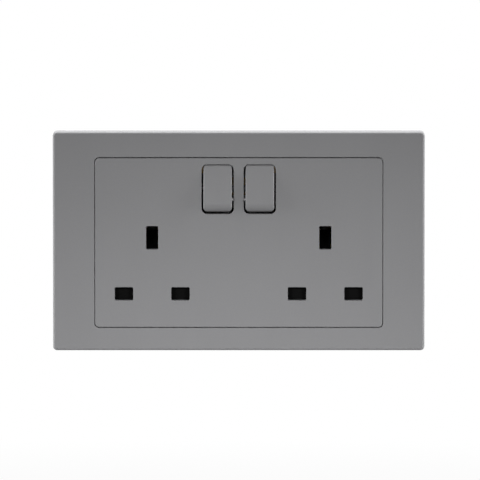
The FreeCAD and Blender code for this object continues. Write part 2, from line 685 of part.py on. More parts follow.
def live_busbar():
    """Live strip with the pairs of ears in which both arms tilt."""
    reach = ROCKER_PITCH / 2 + ARM_WIDTH / 2 + CRADLE_GAP + CRADLE_EAR
    base = block((-reach, reach), (BUSBAR_Y, BUSBAR_Y + STRIP), span(ROCKER_Z, TAB_WIDTH))
    pieces = [base]
    for x in SWITCHES:
        for side in (-1, 1):
            inner = ARM_WIDTH / 2 + CRADLE_GAP
            ear_x = sorted((x + side * inner, x + side * (inner + CRADLE_EAR)))
            pieces.append(block(ear_x, (ARM_Y, BUSBAR_Y), span(ROCKER_Z, 2 * ARM_EAR)))
            pieces.append(rod_x(ARM_EAR, ear_x, ARM_Y, ROCKER_Z))
    bar = joined(pieces)
    return bar.cut(rod_x(PINTLE_RADIUS + RUNNING_GAP, (-reach - 1, reach + 1), ARM_Y, ROCKER_Z))


def terminal(x, z, bar_back):
    """Pillar terminal with an upright cable bore, a clamp hole and a spigot to its bar."""
    end = TERMINAL_Y + TERMINAL_DEPTH
    body = slab((TERMINAL_WIDTH, TERMINAL_HEIGHT), TERMINAL_CORNER, (TERMINAL_Y, end), (x, z))
    body = joined([body, rod_y(SPIGOT_RADIUS, (bar_back, TERMINAL_Y), x, z)])
    reach = TERMINAL_HEIGHT / 2 + 1
    body = body.cut(rod_z(CABLE_BORE, (z - reach, z + reach), x, CABLE_Y))
    return body.cut(rod_y(CLAMP_RADIUS + RUNNING_GAP, (CABLE_Y, end + 1), x, z))


def slotted_head(radius, height, y, x, z):
    """Round screw head with a straight slot, facing the way y runs."""
    low, high = sorted((y, y + height))
    head = rod_y(radius, (low, high), x, z)
    outer = high if height > 0 else low
    head = head.makeFillet(abs(height) * HEAD_ROUND_SHARE, edges_at(head, outer, lambda point: True))
    groove = sorted((outer, outer - height * DRIVE_SLOT_SHARE))
    return head.cut(block(span(x, DRIVE_SLOT), groove, span(z, 2 * radius + 1)))


def clamp_screw(x, z):
    """Clamping screw of a terminal, backed off so that its tip leaves the cable bore free."""
    seat = TERMINAL_Y + TERMINAL_DEPTH + CLAMP_BACKOFF
    shank = rod_y(CLAMP_RADIUS, (CABLE_Y + CABLE_BORE + CLAMP_TIP_GAP, seat), x, z)
    return joined([slotted_head(CLAMP_HEAD_RADIUS, CLAMP_HEAD_HEIGHT, seat, x, z), shank])


def terminal_places():
    """Each terminal: name, place, back of the strip that it meets, and the side its cable enters."""
    strip_back = BACK_STRIP + STRIP
    return [
        ("live_terminal", 0.0, ROCKER_Z, BUSBAR_Y + STRIP, 1),
        ("neutral_terminal", 0.0, NEUTRAL_TERMINAL_Z, strip_back, -1),
        ("earth_terminal_left", OUTLETS[0], EARTH_TERMINAL_Z, strip_back, 1),
        ("earth_terminal_right", OUTLETS[1], EARTH_TERMINAL_Z, strip_back, 1),
    ]


def terminal_bay(x, z, bar_back, way):
    """Walls of one terminal bay, from its strip to the back of the housing."""
    half = TERMINAL_WIDTH / 2 + BAY_FIT + BAY_WALL
    z_range = sorted((z - way * (TERMINAL_HEIGHT / 2 + BAY_FIT + BAY_WALL), way * HOUSING_HEIGHT / 2))
    return block((x - half, x + half), (bar_back, HOUSING_DEPTH), z_range)


def bay_hollow(x, z, bar_back, way):
    """Room for a terminal, open at the back, with the cable trough out of the nearer side."""
    pocket = block(
        span(x, TERMINAL_WIDTH + 2 * BAY_FIT),
        (TERMINAL_Y, HOUSING_DEPTH + 1),
        span(z, TERMINAL_HEIGHT + 2 * BAY_FIT),
    )
    trough_z = sorted((z, way * (HOUSING_HEIGHT / 2 + 1)))
    trough = block(span(x, TROUGH_WIDTH), (CABLE_Y - TROUGH_WIDTH / 2, HOUSING_DEPTH + 1), trough_z)
    spigot = rod_y(SPIGOT_RADIUS + RUNNING_GAP, (bar_back - 1, TERMINAL_Y), x, z)
    return [pocket, trough, spigot]


def housing_screw_tube(x, z):
    """Tube for a case screw, with a gusset into the nearest walls."""
    floor = HOUSING_DEPTH - HOUSING_WALL
    wall_z = math.copysign(HOUSING_HEIGHT / 2 - HOUSING_WALL / 2, z)
    pieces = [rod_y(TUBE_RADIUS, (0, floor), x, z)]
    pieces.append(block(span(x, BAY_WALL), (0, floor), sorted((z, wall_z))))
    if abs(x) > HOUSING_WIDTH / 4:
        wall_x = math.copysign(HOUSING_WIDTH / 2 - HOUSING_WALL / 2, x)
        pieces.append(block(sorted((x, wall_x)), (0, floor), span(z, BAY_WALL)))
    return pieces


def contact_pillars():
    """Pillars that carry the clips, rising from the floor of the housing."""
    y = (BACK_STRIP + STRIP, HOUSING_DEPTH - HOUSING_WALL)
    side = 2 * (CLIP_ROOT + LEAF + PILLAR_MARGIN)
    pieces = []
    for outlet_x in OUTLETS:
        for offset in (-LINE_PIN_PITCH / 2, LINE_PIN_PITCH / 2):
            pieces.append(block(span(outlet_x + offset, side), y, span(ROW_Z, side)))
        pieces.append(block(span(outlet_x, side + 2 * EARTH_PAD_MARGIN), y, span(EARTH_Z, EARTH_PAD)))
    return pieces


def rear_housing():
    """Box behind the wall plane that holds the strips, terminals and screw tubes."""
    floor = HOUSING_DEPTH - HOUSING_WALL
    size = (HOUSING_WIDTH, HOUSING_HEIGHT)
    shell = slab(size, HOUSING_CORNER, (0, HOUSING_DEPTH))
    shell = shell.makeFillet(HOUSING_EDGE, edges_at(shell, HOUSING_DEPTH, lambda point: True))
    shell = shell.cut(slab(grown(size, -HOUSING_WALL), HOUSING_CORNER / 2, (-1, floor)))
    pieces = [shell] + contact_pillars()
    hollows = []
    for name, x, z, bar_back, way in terminal_places():
        pieces.append(terminal_bay(x, z, bar_back, way))
        hollows += bay_hollow(x, z, bar_back, way)
    shelf_x = ROCKER_PITCH / 2 + RISER_WIDTH / 2
    shelf_z = (CONTACT_Z - RISER_WIDTH / 2, HOUSING_HEIGHT / 2 - HOUSING_WALL / 2)
    pieces.append(block((-shelf_x, shelf_x), (RISER_Y + STRIP, floor), shelf_z))
    for x, z in CASE_SCREWS:
        pieces += housing_screw_tube(x, z)
        hollows.append(rod_y(CASE_SCREW_RADIUS + SLIDE_GAP, (-1, HOUSING_DEPTH + 1), x, z))
        head_y = (floor - CASE_SCREW_RECESS, HOUSING_DEPTH + 1)
        hollows.append(rod_y(CASE_SCREW_HEAD + SLIDE_GAP, head_y, x, z))
    well = grown(EARTH_HOLE, -PIN_WELL_FIT)
    for x in OUTLETS:
        hollows.append(slab(well, HOLE_CORNER, (BACK_STRIP, FRONT + EARTH_PIN_LENGTH + 1), (x, EARTH_Z)))
    return joined(pieces).cut(hollows[0].multiFuse(hollows[1:]))


def case_screws():
    """Screws from the back of the housing into the bosses of the panel."""
    seat = HOUSING_DEPTH - HOUSING_WALL - CASE_SCREW_RECESS
    screws = []
    for x, z in CASE_SCREWS:
        shank = rod_y(CASE_SCREW_RADIUS, (-CASE_SCREW_BITE, seat), x, z)
        screws.append(joined([shank, slotted_head(CASE_SCREW_HEAD, CASE_SCREW_HEAD_HEIGHT, seat, x, z)]))
    return Part.makeCompound(screws)


def shutter(outlet_x):
    """Sliding shutter: wings over the line holes, a fork beside the earth hole and its ramp."""
    y = (SHUTTER_FRONT, SHUTTER_BACK)
    wing = LINE_HOLE[1] / 2 + SHUTTER_MARGIN
    low = ROW_Z - wing
    fork = EARTH_Z - EARTH_HOLE[1] / 2 - FORK_DROP
    prong_top = EARTH_Z + PRONG_RISE
    plate = joined([
        block((-WING_HALF, WING_HALF), y, (low, ROW_Z + wing)),
        block(span(0, SHUTTER_STEM), y, (low, prong_top)),
    ])
    plate = plate.cut(block(span(0, FORK_SLOT), (y[0] - 1, y[1] + 1), (fork, prong_top + 1)))
    plate = plate.cut(block(span(0, SPRING_SLOT), (y[0] - 1, y[1] + 1), (low - 1, SPRING_SEAT_Z)))
    crest = fork + SHUTTER_TRAVEL + RAMP_OVERRUN
    ramp = side_profile([
        (y[0], fork),
        (y[0] + RAMP_DEPTH, crest),
        (y[0] + RAMP_DEPTH, crest - RAMP_THICKNESS),
        (y[1], fork - RAMP_ROOT),
        (y[0], fork - RAMP_ROOT),
    ], span(0, RAMP_WIDTH))
    moved = joined([plate, ramp])
    moved.translate(Vector(outlet_x, 0, 0))
    return moved


def shutter_spring(outlet_x):
    """Return spring between the floor of the panel and the shutter."""
    length = SPRING_SEAT_Z - PANEL_FLOOR_Z
    spring = coil(SHUTTER_SPRING_RADIUS, SHUTTER_SPRING_WIRE, SHUTTER_SPRING_TURNS, length)
    spring.translate(Vector(outlet_x, SHUTTER_MID, PANEL_FLOOR_Z))
    return spring


def screw_slot(x, upright):
    """Slotted hole of the yoke for a box screw."""
    size = (SLOT_WIDTH, SLOT_LENGTH) if upright else (SLOT_LENGTH, SLOT_WIDTH)
    return slab(size, SLOT_WIDTH / 2 - 0.001, (YOKE_FRONT - 1, 1), (x, 0))


def mounting_yoke():
    """Steel plate on the wall with the window, screw slots, stiffening flanges and hook lugs."""
    y = (YOKE_FRONT, 0)
    pieces = [slab((YOKE_WIDTH, YOKE_HEIGHT), YOKE_CORNER, y)]
    for side in (-1, 1):
        flange_x = sorted((side * YOKE_WIDTH / 2, side * (YOKE_WIDTH / 2 - YOKE_THICKNESS)))
        pieces.append(block(flange_x, (YOKE_FRONT - YOKE_FLANGE, 0), span(0, YOKE_FLANGE_LENGTH)))
        lug_z = sorted((side * YOKE_HEIGHT / 2, side * (YOKE_HEIGHT / 2 - YOKE_THICKNESS)))
        for x in (-HOOK_SPREAD, HOOK_SPREAD):
            lug = block(span(x, LUG_WIDTH), (YOKE_FRONT - LUG_HEIGHT, 0), lug_z)
            opening_y = (YOKE_FRONT - LUG_HEIGHT + LUG_WINDOW_START, YOKE_FRONT - SLIDE_GAP)
            pieces.append(lug.cut(block(span(x, HOOK_WIDTH + 2 * SLIDE_GAP), opening_y, lug_z)))
    yoke = joined(pieces)
    window = (HOUSING_WIDTH - 2 * YOKE_WINDOW_MARGIN, HOUSING_HEIGHT - 2 * YOKE_WINDOW_MARGIN)
    yoke = yoke.cut(slab(window, HOUSING_CORNER / 2, (YOKE_FRONT - 1, 1)))
    yoke = yoke.cut(screw_slot(-BOX_SCREW_PITCH / 2, False))
    yoke = yoke.cut(screw_slot(BOX_SCREW_PITCH / 2, True))
    return yoke.cut(rod_y(RIVET_RADIUS, (YOKE_FRONT - 1, 1), RIVET_X, EARTH_Z))


def yoke_earth_strap():
    """Folded strap from the end of the earth bar to the front of the yoke."""
    z = span(EARTH_Z, EARTH_RAIL_WIDTH)
    leg = block((STRAP_X - STRIP, STRAP_X), (YOKE_FRONT - STRIP, BACK_STRIP + STRIP), z)
    foot = block((WINDOW_EDGE_X - STRAP_LAP, STRAP_X), (YOKE_FRONT - STRIP, YOKE_FRONT), z)
    strap = joined([leg, foot])
    return strap.cut(rod_y(RIVET_RADIUS, (YOKE_FRONT - STRIP - 1, 0), RIVET_X, EARTH_Z))


def strap_rivet():
    """Rivet that holds the strap to the yoke, flush at the wall."""
    head_y = (YOKE_FRONT - STRIP - STRIP, YOKE_FRONT - STRIP)
    head = rod_y(RIVET_HEAD, head_y, RIVET_X, EARTH_Z)
    head = head.makeFillet(STRIP / 2, edges_at(head, head_y[0], lambda point: True))
    return joined([head, rod_y(RIVET_RADIUS, (head_y[1], 0), RIVET_X, EARTH_Z)])


def fixing_screw(x):
    """Machine screw for the wall box, with a neck where it passes the yoke and a pointed tip."""
    end = YOKE_FRONT + BOX_SCREW_LENGTH
    head = slotted_head(BOX_SCREW_HEAD, -BOX_SCREW_HEAD_HEIGHT, YOKE_FRONT, x, 0)
    neck = rod_y(BOX_SCREW_NECK, (YOKE_FRONT, 0), x, 0)
    shank = rod_y(BOX_SCREW_RADIUS, (0, end - BOX_SCREW_TIP), x, 0)
    tip_foot = Vector(x, end - BOX_SCREW_TIP, 0)
    tip_radius = BOX_SCREW_RADIUS - BOX_SCREW_TIP
    tip = Part.makeCone(BOX_SCREW_RADIUS, tip_radius, BOX_SCREW_TIP, tip_foot, Vector(0, 1, 0))
    return joined([head, neck, shank, tip])


def build():
    """Every piece of the socket by name."""
    parts = {
        "outer_frame": outer_frame(),
        "socket_front": socket_front(),
        "rear_housing": rear_housing(),
        "mounting_yoke": mounting_yoke(),
        "earth_bar": earth_bar(),
        "neutral_bar": neutral_bar(),
        "live_busbar": live_busbar(),
        "yoke_earth_strap": yoke_earth_strap(),
        "strap_rivet": strap_rivet(),
        "housing_screws": case_screws(),
    }
    clamps = []
    for name, x, z, bar_back, way in terminal_places():
        parts[name] = terminal(x, z, bar_back)
        clamps.append(clamp_screw(x, z))
    parts["terminal_screws"] = Part.makeCompound(clamps)
    for index, side in enumerate(SIDES):
        outlet_x = OUTLETS[index]
        switch_x = SWITCHES[index]
        parts["rocker_" + side] = at_rocker(rocker(-math.copysign(1, switch_x)), switch_x)
        parts["plunger_" + side] = at_rocker(plunger(), switch_x)
        parts["plunger_spring_" + side] = at_rocker(plunger_spring(), switch_x)
        parts["switch_arm_" + side] = at_arm(switch_arm(), switch_x)
        parts["moving_contact_" + side] = at_arm(moving_contact(), switch_x)
        parts["fixed_contact_" + side] = fixed_contact(switch_x)
        parts["live_contact_" + side] = live_contact(outlet_x, switch_x)
        parts["shutter_" + side] = shutter(outlet_x)
        parts["shutter_spring_" + side] = shutter_spring(outlet_x)
        parts["fixing_screw_" + side] = fixing_screw(math.copysign(BOX_SCREW_PITCH / 2, outlet_x))
    return parts


os.makedirs("parts", exist_ok=True)
for name, shape in build().items():
    print(name, shape.isValid(), len(shape.Solids), round(shape.Volume, 2))
    shape.exportStep("parts/" + name + ".step")
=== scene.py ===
"""British twin switched socket outlet: front mouldings, springs, screws, finishes and the studio view."""
from __future__ import annotations

import json
import logging
import math
from dataclasses import dataclass, fields
from enum import Enum
from typing import Callable

import bmesh
import bpy
from bpy.types import Material, Mesh, NodeSocket, NodeTree, Object, ShaderNode
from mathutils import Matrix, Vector

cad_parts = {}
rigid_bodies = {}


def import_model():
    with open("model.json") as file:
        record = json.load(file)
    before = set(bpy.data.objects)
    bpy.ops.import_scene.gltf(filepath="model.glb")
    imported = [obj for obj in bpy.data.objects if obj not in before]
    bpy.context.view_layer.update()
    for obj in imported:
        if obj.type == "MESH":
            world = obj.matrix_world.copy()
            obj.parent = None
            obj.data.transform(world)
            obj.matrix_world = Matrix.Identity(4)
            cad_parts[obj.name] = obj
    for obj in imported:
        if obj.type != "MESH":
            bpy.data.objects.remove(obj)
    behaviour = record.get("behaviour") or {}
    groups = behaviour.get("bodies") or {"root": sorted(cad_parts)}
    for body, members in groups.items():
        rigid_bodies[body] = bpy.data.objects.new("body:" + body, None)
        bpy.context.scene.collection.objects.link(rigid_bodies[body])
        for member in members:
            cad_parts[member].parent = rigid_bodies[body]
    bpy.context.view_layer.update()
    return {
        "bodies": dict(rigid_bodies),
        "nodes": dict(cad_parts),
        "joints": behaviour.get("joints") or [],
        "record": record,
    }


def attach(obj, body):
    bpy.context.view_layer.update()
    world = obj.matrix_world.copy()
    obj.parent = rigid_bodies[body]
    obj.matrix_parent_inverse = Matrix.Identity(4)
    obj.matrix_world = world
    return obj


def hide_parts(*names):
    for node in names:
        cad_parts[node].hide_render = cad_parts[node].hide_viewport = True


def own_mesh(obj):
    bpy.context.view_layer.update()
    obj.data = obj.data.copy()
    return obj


Pair = tuple[float, float]
Place = tuple[float, float, float]
Colour = tuple[float, float, float]
EdgeTest = Callable[[bmesh.types.BMEdge], bool]

MM = 0.001
NEAR = 1e-6
FACE_Y = -0.0095

# How far an added solid sinks into its neighbour, and how far a cutter passes what it cuts
SINK = 0.4 * MM
BEYOND = 1 * MM

# Places that several pieces share
OUTLET_X = 0.034
SHUTTER_SPRING_Y = -0.0041
ROCKER_X = 0.00827
ROCKER_PIVOT: Pair = (-0.0055, 0.0205)
ROCKER_TILT = -7.0
CASE_SCREWS: tuple[Pair, ...] = (
    (0.0464, 0.0254), (-0.0464, 0.0254), (0.0115, -0.0256), (-0.0115, -0.0256),
)

log = logging.getLogger("twin_socket")


class Joining(Enum):
    """What a second solid does to the first."""

    TAKE_AWAY = "DIFFERENCE"
    ADD = "UNION"
    KEEP_COMMON = "INTERSECT"


class Side(Enum):
    """Side of the socket, seen from the front."""

    LEFT = "left"
    RIGHT = "right"

    @property
    def sign(self) -> int:
        """Minus one on the left and one on the right."""
        return -1 if self is Side.LEFT else 1


class Bench:
    """Mesh work that every moulding, spring and screw shares."""

    @staticmethod
    def alone(piece: Object) -> None:
        """Selects one piece and nothing else.

        Args:
            piece: object to select.
        """
        bpy.ops.object.select_all(action="DESELECT")
        piece.select_set(True)
        bpy.context.view_layer.objects.active = piece

    @staticmethod
    def block(name: str, x: Pair, y: Pair, z: Pair) -> Object:
        """Adds a box between the low and high value of each axis.

        Args:
            name: name of the new object.
            x: low and high X.
            y: low and high Y.
            z: low and high Z.

        Returns:
            The box, with its place in its mesh.
        """
        bpy.ops.object.select_all(action="DESELECT")
        spans = (sorted(x), sorted(y), sorted(z))
        bpy.ops.mesh.primitive_cube_add(
            size=1,
            location=[(low + high) / 2 for low, high in spans],
            scale=[high - low for low, high in spans],
        )
        piece = bpy.context.object
        piece.name = name
        Bench.settle(piece)
        return piece

    @staticmethod
    def rod(name: str, radius: float, start: Place, end: Place, facets: int = 48) -> Object:
        """Adds a closed cylinder between two points.

        Args:
            name: name of the new object.
            radius: radius of the cylinder.
            start: centre of its first end.
            end: centre of its other end.
            facets: number of side faces.

        Returns:
            The cylinder, with its place in its mesh.
        """
        bpy.ops.object.select_all(action="DESELECT")
        run = Vector(end) - Vector(start)
        bpy.ops.mesh.primitive_cylinder_add(
            vertices=facets,
            radius=radius,
            depth=run.length,
            location=(Vector(start) + Vector(end)) / 2,
            rotation=run.to_track_quat("Z", "Y").to_euler(),
        )
        piece = bpy.context.object
        piece.name = name
        Bench.settle(piece)
        return piece

    @staticmethod
    def settle(piece: Object) -> None:
        """Moves a piece's place, turn and scale into its mesh."""
        Bench.alone(piece)
        bpy.ops.object.transform_apply(location=True, rotation=True, scale=True)

    @staticmethod
    def choose_edges(piece: Object, test: EdgeTest) -> None:
        """Enters edit mode with only the edges chosen that pass a test.

        Args:
            piece: mesh object to work on.
            test: says of an edge whether it is chosen.
        """
        Bench.alone(piece)
        bpy.context.tool_settings.mesh_select_mode = (False, True, False)
        bpy.ops.object.mode_set(mode="EDIT")
        bpy.ops.mesh.select_all(action="DESELECT")
        cage = bmesh.from_edit_mesh(piece.data)
        for edge in cage.edges:
            if test(edge):
                edge.select_set(True)
        bmesh.update_edit_mesh(piece.data)

    @staticmethod
    def round_edges(piece: Object, test: EdgeTest, radius: float, steps: int) -> None:
        """Rounds the edges of a piece that pass a test.

        Args:
            piece: mesh object to work on.
            test: says of an edge whether it is rounded.
            radius: radius of the rounding.
            steps: faces across the rounding.
        """
        Bench.choose_edges(piece, test)
        bpy.ops.mesh.bevel(
            offset_type="OFFSET", offset=radius, segments=steps, affect="EDGES", clamp_overlap=False
        )
        bpy.ops.object.mode_set(mode="OBJECT")

    @staticmethod
    def combine(piece: Object, other: Object, how: Joining, crossing: bool = False) -> None:
        """Joins, cuts or trims a piece with another solid, which is used up.

        Args:
            piece: the solid that stays.
            other: the solid that works on it.
            how: what the other solid does.
            crossing: true if parts of either solid overlap each other.
        """
        Bench.alone(piece)
        step = piece.modifiers.new("combine", "BOOLEAN")
        step.operation = how.value
        step.solver = "EXACT"
        step.use_self = crossing
        step.object = other
        bpy.ops.object.modifier_apply(modifier=step.name)
        bpy.data.objects.remove(other)

    @staticmethod
    def gathered(pieces: list[Object], name: str) -> Object:
        """Puts several objects into one mesh.

        Args:
            pieces: objects to gather.
            name: name of the object they become.

        Returns:
            The gathered object.
        """
        Bench.alone(pieces[0])
        for piece in pieces[1:]:
            piece.select_set(True)
        if len(pieces) > 1:
            bpy.ops.object.join()
        gathered = bpy.context.view_layer.objects.active
        gathered.name = name
        return gathered

    @staticmethod
    def copied(piece: Object, name: str) -> Object:
        """Copies a piece with a mesh of its own.

        Args:
            piece: object to copy.
            name: name of the copy.

        Returns:
            The copy.
        """
        Bench.alone(piece)
        bpy.ops.object.duplicate(linked=False)
        twin = bpy.context.view_layer.objects.active
        twin.name = name
        return twin

    @staticmethod
    def moved(piece: Object, offset: Place, turn: Place = (0.0, 0.0, 0.0)) -> Object:
        """Turns a piece about the origin, then moves it to its place.

        Args:
            piece: object to place.
            offset: place of its own origin.
            turn: angle about each axis in degrees.

        Returns:
            The same piece, with its place in its mesh.
        """
        piece.rotation_euler = [math.radians(angle) for angle in turn]
        piece.location = offset
        Bench.settle(piece)
        return piece

    @staticmethod
    def wound(outline: Object, turns: int, rise: float, steps: int) -> None:
        """Winds an outline about +Z.

        Args:
            outline: object to wind.
            turns: number of whole turns.
            rise: height of one turn.
            steps: faces round one turn.
        """
        Bench.alone(outline)
        winding = outline.modifiers.new("winding", "SCREW")
        winding.axis = "Z"
        winding.angle = math.tau
        winding.iterations = turns
        winding.steps = steps
        winding.render_steps = steps
        winding.screw_offset = rise
        bpy.ops.object.modifier_apply(modifier=winding.name)

    @staticmethod
    def mended(piece: Object, merge: bool = False, outward: bool = False) -> None:
        """Merges the doubles of a mesh, turns its faces outwards, or both.

        Args:
            piece: mesh object to mend.
            merge: true to merge its doubles.
            outward: true to turn its faces outwards.
        """
        Bench.alone(piece)
        bpy.ops.object.mode_set(mode="EDIT")
        bpy.ops.mesh.select_all(action="SELECT")
        if merge:
            bpy.ops.mesh.remove_doubles(threshold=NEAR)
        if outward:
            bpy.ops.mesh.normals_make_consistent(inside=False)
        bpy.ops.object.mode_set(mode="OBJECT")

    @staticmethod
    def faired(piece: Object, angle: float = 32.0) -> Object:
        """Merges doubles, shades roundings smoothly and keeps flat faces flat.

        Args:
            piece: finished mesh object.
            angle: steepest edge, in degrees, that is shaded smooth.

        Returns:
            The same piece.
        """
        Bench.mended(piece, merge=True)
        bpy.ops.object.shade_smooth_by_angle(angle=math.radians(angle))
        weight = piece.modifiers.new("even_normals", "WEIGHTED_NORMAL")
        weight.keep_sharp = True
        bpy.ops.object.modifier_apply(modifier=weight.name)
        return piece


def along_y(edge: bmesh.types.BMEdge) -> bool:
    """True of an edge that runs from front to back."""
    a, b = (vertex.co for vertex in edge.verts)
    return abs(a.x - b.x) < NEAR and abs(a.z - b.z) < NEAR


def on_plane(edge: bmesh.types.BMEdge, y: float) -> bool:
    """True of a sharp edge that lies at one depth."""
    flat = all(abs(vertex.co.y - y) < NEAR for vertex in edge.verts)
    return flat and edge.calc_face_angle(0.0) > 0.5


def in_face(edge: bmesh.types.BMEdge, size: Pair, drop: float) -> bool:
    """True of a sharp edge in the front face, within a rectangle below the middle by its drop."""
    within = all(abs(v.co.x) < size[0] / 2 and abs(v.co.z + drop) < size[1] / 2 for v in edge.verts)
    return within and on_plane(edge, FACE_Y)


def rounded_block(
    name: str, size: Pair, corner: float, y: Pair, centre: Pair = (0.0, 0.0), steps: int = 8
) -> Object:
    """Adds a box whose four corners are rounded in the front view.

    Args:
        name: name of the new object.
        size: width and height.
        corner: corner radius.
        y: low and high Y.
        centre: X and Z of its middle.
        steps: faces round each corner.

    Returns:
        The box, with its place in its mesh.
    """
    piece = Bench.block(name, span(centre[0], size[0]), y, span(centre[1], size[1]))
    Bench.round_edges(piece, along_y, corner, steps)
    return piece


def grown(size: Pair, margin: float) -> Pair:
    """Adds a margin to all sides of a rectangle's size."""
    return (size[0] + 2 * margin, size[1] + 2 * margin)


def span(centre: float, width: float) -> Pair:
    """Low and high value of a width about its centre."""
    return (centre - width / 2, centre + width / 2)


def seated(piece: Object, side: Side) -> Object:
    """Moves a piece made about the rocker's pivot to its side, at the tilt of a switch that is off."""
    return Bench.moved(piece, (side.sign * ROCKER_X, *ROCKER_PIVOT), (ROCKER_TILT, 0.0, 0.0))


def any_ray(tree: NodeTree, kinds: tuple[str, ...]) -> NodeSocket:
    """Adds nodes that give one for some kinds of ray and zero for all others.

    Args:
        tree: node tree that they are added to.
        kinds: outputs of the Light Path node.

    Returns:
        The value socket.
    """
    path = tree.nodes.new("ShaderNodeLightPath")
    seen = path.outputs[kinds[0]]
    for kind in kinds[1:]:
        most = tree.nodes.new("ShaderNodeMath")
        most.operation = "MAXIMUM"
        tree.links.new(seen, most.inputs[0])
        tree.links.new(path.outputs[kind], most.inputs[1])
        seen = most.outputs["Value"]
    return seen


class Graph:
    """Node tree of one procedural finish, on Object coordinates."""

    def __init__(self, name: str) -> None:
        """Starts a material with an empty Principled surface.

        Args:
            name: name of the material.
        """
        self.material = bpy.data.materials.new(name)
        self.material.use_nodes = True
        self.nodes = self.material.node_tree.nodes
        self.links = self.material.node_tree.links
        self.nodes.clear()
        output = self.nodes.new("ShaderNodeOutputMaterial")
        self.surface = self.nodes.new("ShaderNodeBsdfPrincipled")
        self.links.new(self.surface.outputs["BSDF"], output.inputs["Surface"])
        self.place = self.nodes.new("ShaderNodeTexCoord").outputs["Object"]

    def mapped(self, stretch: Place, turn: Place = (0.0, 0.0, 0.0)) -> NodeSocket:
        """Stretches and turns the pattern space.

        Args:
            stretch: scale of each axis.
            turn: turn about each axis in radians.

        Returns:
            The vector socket.
        """
        node = self.nodes.new("ShaderNodeMapping")
        node.inputs["Scale"].default_value = stretch
        node.inputs["Rotation"].default_value = turn
        self.links.new(self.place, node.inputs["Vector"])
        return node.outputs["Vector"]

    def noise(self, size: float, detail: float = 2.0, where: NodeSocket | None = None) -> NodeSocket:
        """Adds soft noise.

        Args:
            size: size of its features in metres.
            detail: levels of finer noise.
            where: pattern space, or the object's own.

        Returns:
            The factor socket.
        """
        node = self.nodes.new("ShaderNodeTexNoise")
        node.inputs["Scale"].default_value = 1 / size
        node.inputs["Detail"].default_value = detail
        self.links.new(where or self.place, node.inputs["Vector"])
        return node.outputs["Fac"]

    def cells(self, size: float, where: NodeSocket) -> ShaderNode:
        """Adds a cell pattern.

        Args:
            size: size of a cell in metres.
            where: pattern space.

        Returns:
            The Voronoi node.
        """
        node = self.nodes.new("ShaderNodeTexVoronoi")
        node.inputs["Scale"].default_value = 1 / size
        self.links.new(where, node.inputs["Vector"])
        return node

    def graded(self, factor: NodeSocket, stops: list[tuple[float, Colour]]) -> NodeSocket:
        """Turns a factor into a colour.

        Args:
            factor: value from 0 to 1.
            stops: places along the ramp and their colours.

        Returns:
            The colour socket.
        """
        node = self.nodes.new("ShaderNodeValToRGB")
        ramp = node.color_ramp
        while len(ramp.elements) < len(stops):
            ramp.elements.new(0.5)
        for element, (place, colour) in zip(ramp.elements, stops):
            element.position = place
            element.color = (*colour, 1.0)
        self.links.new(factor, node.inputs["Fac"])
        return node.outputs["Color"]

    def ranged(self, factor: NodeSocket, low: float, high: float, window: Pair = (0.3, 0.7)) -> NodeSocket:
        """Maps a factor to a range of values.

        Args:
            factor: value to map.
            low: value at the window's start.
            high: value at the window's end.
            window: part of the factor that is used.

        Returns:
            The value socket.
        """
        node = self.nodes.new("ShaderNodeMapRange")
        node.inputs["From Min"].default_value = window[0]
        node.inputs["From Max"].default_value = window[1]
        node.inputs["To Min"].default_value = low
        node.inputs["To Max"].default_value = high
        self.links.new(factor, node.inputs["Value"])
        return node.outputs["Result"]

    def mixed(self, share: NodeSocket | float, first: NodeSocket, second: NodeSocket) -> NodeSocket:
        """Mixes two colours.

        Args:
            share: share of the second, as a pattern or a constant.
            first: first colour.
            second: second colour.

        Returns:
            The colour socket.
        """
        node = self.nodes.new("ShaderNodeMix")
        node.data_type = "RGBA"
        if isinstance(share, float):
            node.inputs["Factor"].default_value = share
        else:
            self.links.new(share, node.inputs["Factor"])
        self.links.new(first, node.inputs["A"])
        self.links.new(second, node.inputs["B"])
        return node.outputs["Result"]

    def relief(self, height: NodeSocket, depth: float, strength: float) -> None:
        """Adds a surface relief on top of what the surface has.

        Args:
            height: height pattern from 0 to 1.
            depth: its depth in metres.
            strength: share of the effect.
        """
        node = self.nodes.new("ShaderNodeBump")
        node.inputs["Strength"].default_value = strength
        node.inputs["Distance"].default_value = depth
        self.links.new(height, node.inputs["Height"])
        socket = self.surface.inputs["Normal"]
        if socket.is_linked:
            self.links.new(socket.links[0].from_socket, node.inputs["Normal"])
        self.links.new(node.outputs["Normal"], socket)

    def value(self, name: str, value: float) -> None:
        """Gives the surface one of its constant values."""
        self.surface.inputs[name].default_value = value

    def colour(self, socket: NodeSocket) -> None:
        """Gives the surface its colour."""
        self.links.new(socket, self.surface.inputs["Base Color"])

    def roughness(self, socket: NodeSocket) -> None:
        """Gives the surface its roughness."""
        self.links.new(socket, self.surface.inputs["Roughness"])


def shaded(colour: Colour, share: float) -> Colour:
    """Multiplies a colour by a share."""
    return (colour[0] * share, colour[1] * share, colour[2] * share)


def around(colour: Colour, drift: float, places: Pair = (0.3, 0.7)) -> list[tuple[float, Colour]]:
    """Ramp from a little darker than a colour to as much lighter."""
    return [(places[0], shaded(colour, 1 - drift)), (places[1], shaded(colour, 1 + drift))]


